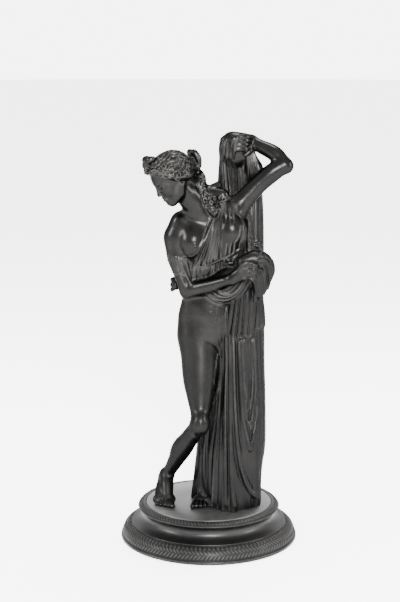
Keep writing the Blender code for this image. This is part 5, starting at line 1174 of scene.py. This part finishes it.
def sample(clay, points):
    # signed distance at any points, between the grid's own
    q = np.clip((points - clay.low) / clay.step, 0, np.array(clay.shape) - 1.001)
    i = q.astype(int)
    t = q - i
    total = 0
    for corner in np.ndindex(2, 2, 2):
        share = np.where(corner, t, 1 - t)
        x, y, z = (i + corner).T
        total = total + share[:, 0] * share[:, 1] * share[:, 2] * clay.field[x, y, z]
    return total


def turnedMesh(name, profile, sides, material):
    # a profile (radius, height), outer side from top to bottom, turned round Z
    ring = []
    for r, z in profile:
        q = np.arange(sides) * 2 * math.pi / sides
        ring.append(np.stack([r * np.cos(q), r * np.sin(q), np.full(sides, z)], 1))
    verts = np.vstack(ring)
    faces = []
    for k in range(len(profile) - 1):
        a = k * sides + np.arange(sides)
        b = k * sides + (np.arange(sides) + 1) % sides
        faces.append(np.stack([a, a + sides, b + sides, b], 1))
    return meshFrom(name, verts, np.vstack(faces), material)


def addPiece(name, mesh):
    thing = bpy.data.objects.new(name, mesh)
    statuette.objects.link(thing)
    return thing


print("modelling the figure")
clay = figureClay(figureSizes["grid"])
tidyField(clay.field, 6)
verts, quads = surfaceNets(clay.field, clay.low, clay.step)
verts, quads = biggest(verts, quads)
print("skin of", len(quads), "faces")
figure = addPiece("bronzeFigure", meshFrom("bronzeFigure", verts / 1000, quads, figureBronze))
thin = figure.modifiers.new("thin", "DECIMATE")
thin.ratio = (figureSizes["triangles"] - 4 * figureSizes["groundSides"] * 2) / (2 * len(quads))
thin.use_collapse_triangulate = True
settled(figure)


def perVertex(mesh, what):
    values = np.zeros(len(mesh.vertices) * 3, np.float32)
    mesh.vertices.foreach_get(what, values)
    return values.reshape(-1, 3)


def ramp(values, low, high):
    return np.clip((values - low) / (high - low), 0, 1)


# Open skin reads 1 at each reach outwards, a hollow less. A sharp edge reads less than 1 inwards.
points = perVertex(figure.data, "co") * 1000
normals = perVertex(figure.data, "normal")
near, wide, inner = (sample(clay, points + normals * reach) / reach for reach in (1.4, 4.5, -1.6))
x, y, z = points.T
# the crown of the head is rubbed most; the ridges of the dress pleats are made paler still as a painted glint
crown = np.linalg.norm((points - (headFrame()[0] + vec(0, 0, 6))) / vec(27, 27, 24), axis=1)
dressGlint = ramp(z, 262, 270) * ramp(z, 338, 332) * ramp(x, -12, -4) * (y < 2) * (x < 40)
wearAndGlintGain = 1 + 0.7 * np.clip(3 - 2.6 * crown, 0, 1) + 0.75 * dressGlint
# rougher and a little darker towards the ground and down the hanging cloth: the darkening is painted shade
hanging = 0.7 * ramp(x, 24, 32) * ramp(z, 332, 324)
# painted shade: creases, hollows and the gaps between parts are marked darker, from how closed-in the skin is
# round each point
give(figure.data, hollow=np.clip(0.55 * (1 - near) + 0.8 * (1 - wide), 0, 1),
     ridge=np.clip(1.5 * (1 - inner) + 0.7 * (wide - 0.85), 0, 1) * wearAndGlintGain,
     dull=np.maximum(ramp(z, 225, 175), hanging))

top, r = figureSizes["groundZ"] / 1000, figureSizes["groundRadius"] / 1000
low = top - figureSizes["groundThickness"] / 1000
edge = [(0.0002, top), (r * 0.5, top), (r - 0.0006, top), (r - 0.0002, top - 0.0002), (r, top - 0.0006),
        (r, low + 0.0004), (r - 0.0004, low), (0.0002, low)]
ground = addPiece("ground", turnedMesh("ground", edge, figureSizes["groundSides"], groundBronze))
give(ground.data, hollow=0, ridge=0, dull=1)
with bpy.context.temp_override(active_object=figure, selected_editable_objects=[figure, ground]):
    bpy.ops.object.join()
print("figure has", len(figure.data.polygons), "faces")

# The plinth
plinthSizes = {
    "recessRadius": 62.8, "recessFloor": 31.1, "ringRadius": 70.8, "ringTop": 35.3, "ringHeight": 5.7,
    "coveRadius": 64.4, "stepRadius": 76.8, "roundRadius": 86.8, "footRadius": 88.0,
    "footHeight": 3.0, "roundTop": 14.6, "stepTop": 16.2, "sides": 256,
    "tipCount": 120, "tipLength": 6.2, "tipWidth": 3.6,
    "leafCount": 140, "leafLength": 6.8, "leafWidth": 2.6, "leafHeight": 0.5,
    "budCount": 128, "budLength": 5.2, "budWidth": 2.8, "budHeight": 0.8,
    "beadCount": 200, "beadRadius": 0.62, "beadDrop": 3.7, "bandShade": 0.72,
    # lengths down the two mouldings, and where the rows of leaves lie on them
    "roundLength": 16.5, "rowPlaces": (3.5, 8.9, 13.4), "leafLean": 0.85,
    "slopeLength": 4.4, "budPlace": 2.2, "budLean": 0.95,
}


def quarter(r0, z0, r1, z1, n, hollowed):
    out = []
    for i in range(1, n):
        q = math.pi / 2 * i / n
        if hollowed:
            out.append((r0 + (r1 - r0) * (1 - math.cos(q)), z0 + (z1 - z0) * math.sin(q)))
        else:
            out.append((r0 + (r1 - r0) * math.sin(q), z0 + (z1 - z0) * (1 - math.cos(q))))
    return out


def plinthProfile(s):
    top, bottom, floor = s["ringTop"], s["ringTop"] - s["ringHeight"], s["recessFloor"]
    hole, ring, cove = s["recessRadius"], s["ringRadius"], s["coveRadius"]
    step, rim, foot = s["stepRadius"], s["roundRadius"], s["footRadius"]
    stepTop, roundTop, low = s["stepTop"], s["roundTop"], s["footHeight"]
    wide = ring - hole
    inner = ring - wide * 0.42
    middle = stepTop + (bottom - stepTop) * 0.56
    # the recess and the ring
    p = [(0.2, floor), (hole - 0.3, floor), (hole, floor + 0.3), (hole, top - 0.5), (hole + 0.15, top - 0.15),
        (hole + 0.5, top), (hole + wide * 0.22, top), (hole + wide * 0.27, top - 0.35),
        (hole + wide * 0.32, top - 0.45), (hole + wide * 0.55, top - 0.75), (ring - wide * 0.17, top - 2.2),
        (ring - wide * 0.1, top - 2.7), (ring - 0.7, top - 3.0), (ring - 0.25, top - 3.25),
        (ring - 0.1, top - 3.9), (ring - 0.5, top - 4.6), (ring - wide * 0.2, bottom + 0.5),
        (ring - wide * 0.32, bottom), (inner, bottom - 0.3), (inner - 0.15, bottom - 0.8)]
    # the cove and the step
    p += quarter(inner, bottom - 0.4, cove, middle, 8, False)[1:] + [(cove, middle)]
    p += quarter(cove, middle, step, stepTop, 14, True)
    p += [(step - 0.2, stepTop), (step + 0.1, stepTop - 0.1), (step + 0.2, stepTop - 0.5),
          (step + 0.1, roundTop + 0.2), (step - 0.2, roundTop + 0.05), (step + 0.3, roundTop - 0.25)]
    # the round moulding and the foot
    p += quarter(step + 0.4, roundTop - 0.1, rim - 0.5, low + 0.6, 12, False)[1:]
    p += [(rim - 0.5, low + 0.6), (rim - 0.45, low + 0.1), (rim - 0.1, low), (foot - 0.5, low - 0.05),
        (foot - 0.15, low - 0.35), (foot, low - 0.8), (foot, 0.6), (foot - 0.2, 0.15), (foot - 0.5, 0),
        (0.2, 0)]
    return [(a / 1000, b / 1000) for a, b in p]


mesh = turnedMesh("bronzePlinth", plinthProfile(plinthSizes), plinthSizes["sides"], plinthBronze)
plinth = addPiece("bronzePlinth", mesh)
x, y, z = perVertex(plinth.data, "co").T * 1000
away = np.hypot(x, y)
# painted shade on the ground between the leaves of the two bands
onRound = (away > plinthSizes["stepRadius"] + 0.3) & (z > plinthSizes["footHeight"])
onRing = (away > plinthSizes["recessRadius"] + 3.4) & (z > plinthSizes["ringTop"] - 3.5)
give(plinth.data, hollow=plinthSizes["bandShade"] * (onRound | onRing), ridge=0, dull=0)
print("plinth turned")


def roundTheAxis(name, material):
    # Geometry Nodes: copies of the object's own mesh set round the Z axis
    tree = bpy.data.node_groups.new(name, "GeometryNodeTree")
    tree.interface.new_socket("Geometry", in_out="INPUT", socket_type="NodeSocketGeometry")
    count = tree.interface.new_socket("Count", in_out="INPUT", socket_type="NodeSocketInt")
    turn = tree.interface.new_socket("Start", in_out="INPUT", socket_type="NodeSocketFloat")
    tree.interface.new_socket("Geometry", in_out="OUTPUT", socket_type="NodeSocketGeometry")
    new, link = tree.nodes.new, tree.links.new
    enter, leave = new("NodeGroupInput"), new("NodeGroupOutput")
    line = new("GeometryNodeMeshLine")
    line.inputs["Offset"].default_value = (0, 0, 0)
    link(enter.outputs["Count"], line.inputs["Count"])
    index = new("GeometryNodeInputIndex")
    part = new("ShaderNodeMath")
    part.operation = "DIVIDE"
    link(index.outputs[0], part.inputs[0])
    link(enter.outputs["Count"], part.inputs[1])
    angle = new("ShaderNodeMath")
    angle.operation = "MULTIPLY_ADD"
    angle.inputs[1].default_value = 2 * math.pi
    link(part.outputs[0], angle.inputs[0])
    link(enter.outputs["Start"], angle.inputs[2])
    turned = new("ShaderNodeCombineXYZ")
    link(angle.outputs[0], turned.inputs[2])
    copies = new("GeometryNodeInstanceOnPoints")
    link(line.outputs[0], copies.inputs["Points"])
    link(enter.outputs["Geometry"], copies.inputs["Instance"])
    link(turned.outputs[0], copies.inputs["Rotation"])
    real = new("GeometryNodeRealizeInstances")
    link(copies.outputs[0], real.inputs[0])
    finish = new("GeometryNodeSetMaterial")
    finish.inputs["Material"].default_value = material
    link(real.outputs[0], finish.inputs[0])
    link(finish.outputs[0], leave.inputs[0])
    return tree, count.identifier, turn.identifier


ringTree, countKey, startKey = roundTheAxis("roundTheAxis", plinthBronze)


def repeatRound(thing, count, start=0.0):
    ring = thing.modifiers.new("ring", "NODES")
    ring.node_group = ringTree
    ring[countKey] = count
    ring[startKey] = start
    return settled(thing)


def leafMesh(name, along, length, width, height, slant, centre):
    # a pointed leaf with a midrib, laid on a moulding: a runs round the plinth, s down the moulding
    rows, cols = 9, 6
    verts, faces, ridge = [], [], []
    for i in range(rows + 1):
        u = i / rows
        half = width / 2 * math.sin(math.pi * min(1, u ** 0.8 * 0.97 + 0.03)) ** 0.75
        for k in range(cols + 1):
            v = 2 * k / cols - 1
            across = (1 - 0.75 * abs(v) ** 1.6) * (0.62 + 0.38 * (1 - abs(v)) ** 0.5)
            lift = height * (math.sin(math.pi * (0.08 + 0.92 * u) ** 0.8) ** 0.6) * across
            lift += 0.16 * height * math.cos(math.pi * 5 * (u - 0.35 * abs(v))) * (1 - abs(v)) * (abs(v) > 0.1)
            p, q = (u - 0.5) * length, v * half
            a = p * math.cos(slant) - q * math.sin(slant)
            s = p * math.sin(slant) + q * math.cos(slant) + centre
            verts.append(along(a, s, max(lift, -0.05) if 0 < i < rows and 0 < k < cols else -0.25))
            ridge.append(1.0 if abs(v) < 0.2 else 0.45 if abs(v) < 0.7 else 0.0)
    for i in range(rows):
        for k in range(cols):
            a = i * (cols + 1) + k
            faces.append((a, a + 1, a + cols + 2, a + cols + 1))
    mesh = meshFrom(name, np.array(verts) / 1000, np.array(faces), plinthBronze)
    # the midrib is rubbed pale as wear and as a painted glint; the sides of the leaf are painted darker as
    # shade
    give(mesh, ridge=ridge, hollow=[0.8 * (1 - v) for v in ridge], dull=0)
    return mesh


def onTheRound(a, s, lift):
    k = plinthSizes
    q = math.pi / 2 * min(max(s / k["roundLength"], 0), 1)
    r0, z0, r1, z1 = k["stepRadius"] + 0.4, k["roundTop"] - 0.1, k["roundRadius"] - 0.5, k["footHeight"] + 0.6
    r, z = r0 + (r1 - r0) * math.sin(q), z0 + (z1 - z0) * (1 - math.cos(q))
    nr, nz = math.sin(q) * abs(z1 - z0), math.cos(q) * (r1 - r0)
    n = math.hypot(nr, nz)
    r, z = r + nr / n * lift, z + nz / n * lift
    t = a / k["roundRadius"]
    return (r * math.cos(t), r * math.sin(t), z)


# an upper row of upright leaf tips, and two rows of slanted leaves below it
k = plinthSizes
first, second, third = k["rowPlaces"]
rows = (("A", k["tipCount"], k["tipLength"], k["tipWidth"], math.pi / 2, first),
        ("B", k["leafCount"], k["leafLength"], k["leafWidth"], k["leafLean"], second),
        ("C", k["leafCount"], k["leafLength"], k["leafWidth"], -k["leafLean"], third))
pieces = []
for letter, count, length, width, slant, centre in rows:
    mesh = leafMesh("plinthLeaf", onTheRound, length, width, k["leafHeight"], slant, centre)
    leaf = addPiece("plinthLeaves" + letter, mesh)
    pieces.append(repeatRound(leaf, count, math.pi / count * (letter == "C")))


def onTheRing(a, s, lift):
    k = plinthSizes
    wide = k["ringRadius"] - k["recessRadius"]
    r0, z0 = k["recessRadius"] + wide * 0.36, k["ringTop"] - 0.5
    r1, z1 = k["ringRadius"] - wide * 0.12, k["ringTop"] - 2.5
    t = s / k["slopeLength"]
    r, z = r0 + (r1 - r0) * t, z0 + (z1 - z0) * t + 0.25 * math.sin(math.pi * t)
    n = math.hypot(r1 - r0, z1 - z0)
    r, z = r + (z0 - z1) / n * lift, z + (r1 - r0) / n * lift
    q = a / k["ringRadius"]
    return (r * math.cos(q), r * math.sin(q), z)


mesh = leafMesh("ringLeaf", onTheRing, k["budLength"], k["budWidth"], k["budHeight"], k["budLean"],
    k["budPlace"])
bud = addPiece("ringLeaves", mesh)
pieces.append(repeatRound(bud, k["budCount"]))


def beadMesh(radius, place):
    bpy.ops.mesh.primitive_ico_sphere_add(subdivisions=2, radius=radius / 1000, location=(0, 0, 0))
    made = bpy.context.object
    mesh = made.data
    mesh.transform(Matrix.Translation((place[0] / 1000, 0, place[1] / 1000)))
    bpy.data.objects.remove(made)
    mesh.materials.clear()
    mesh.materials.append(plinthBronze)
    mesh.shade_smooth()
    give(mesh, ridge=0.7, hollow=0, dull=0)
    return mesh


place = (k["ringRadius"] - k["beadRadius"], k["ringTop"] - k["beadDrop"])
bead = addPiece("ringBeads", beadMesh(k["beadRadius"], place))
pieces.append(repeatRound(bead, k["beadCount"]))
print("plinth ornament", sum(len(p.data.polygons) for p in pieces), "faces")

for thing in (figure, plinth, *pieces):
    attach(thing, "root")
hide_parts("figure")
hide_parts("plinth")

# Studio
studioSizes = {
    "paper": (0.93, 0.93, 0.925), "glow": 2.2, "floorRadius": 12, "floorZ": -0.0002,
    "sky": 2.6, "horizon": 6.3, "horizonEdge": 0.045, "skyEdge": 0.09,
    # place, the point it faces, width, height and watts
    "softboxes": {
        "front": ((0.16, -1.6, 1.0), (0, 0, 0.25), 0.5, 0.62, 100),
        "left": ((-1.7, -0.45, 1.0), (0, 0, 0.24), 0.36, 0.8, 46),
        "right": ((1.6, -0.35, 0.85), (0, 0, 0.22), 0.3, 0.8, 36),
        "top": ((0.2, 0.4, 1.6), (0, 0, 0.2), 0.5, 0.5, 34),
    },
    "camera": (-0.00871, -1.3662, 0.5059), "pitch": 11.0413, "focal": 1421 / 602 * 36,
}
print("studio")
s = studioSizes
paper = Finish("palePaper")
paper.set(Base_Color=s["paper"], Roughness=0.75, Emission_Color=(1, 1, 1), Emission_Strength=s["glow"])
turns = np.linspace(0, 2 * math.pi, 96, endpoint=False)
rim = [(s["floorRadius"] * math.cos(q), s["floorRadius"] * math.sin(q), s["floorZ"]) for q in turns]
floorMesh = bpy.data.meshes.new("floor")
floorMesh.from_pydata(rim, [], [tuple(range(len(rim)))])
floorMesh.materials.append(paper.material)
floor = bpy.data.objects.new("floor", floorMesh)
studio.objects.link(floor)

world = bpy.data.worlds.new("studioLight")
bpy.context.scene.world = world
world.use_nodes = True
# brighter along the horizon, so that floor and background run into one another
sky = world.node_tree.nodes
kinds = ("TexCoord", "SeparateXYZ", "Math", "MapRange")
look, split, level, fade = (sky.new("ShaderNode" + kind) for kind in kinds)
level.operation = "ABSOLUTE"
link = world.node_tree.links.new
link(look.outputs["Generated"], split.inputs[0])
link(split.outputs[2], level.inputs[0])
link(level.outputs[0], fade.inputs[0])
fading = {"From Min": "horizonEdge", "From Max": "skyEdge", "To Min": "horizon", "To Max": "sky"}
for key, value in fading.items():
    fade.inputs[key].default_value = s[value]
link(fade.outputs[0], sky["Background"].inputs[1])
sky["Background"].inputs[0].default_value = (1, 1, 1, 1)

for name, (place, aim, width, height, power) in s["softboxes"].items():
    light = bpy.data.lights.new(name, "AREA")
    light.shape = "RECTANGLE"
    light.size, light.size_y, light.energy = width, height, power
    lamp = bpy.data.objects.new(name, light)
    studio.objects.link(lamp)
    lamp.location = place
    lamp.rotation_euler = (Vector(aim) - Vector(place)).to_track_quat("-Z", "Y").to_euler()

camera = bpy.data.objects.new("camera", bpy.data.cameras.new("camera"))
studio.objects.link(camera)
camera.location = s["camera"]
camera.rotation_euler = (math.radians(90 - s["pitch"]), 0, 0)
camera.data.sensor_fit = "VERTICAL"
camera.data.sensor_height = 36
camera.data.lens = s["focal"]
camera.data.clip_start = 0.05
bpy.context.scene.camera = camera
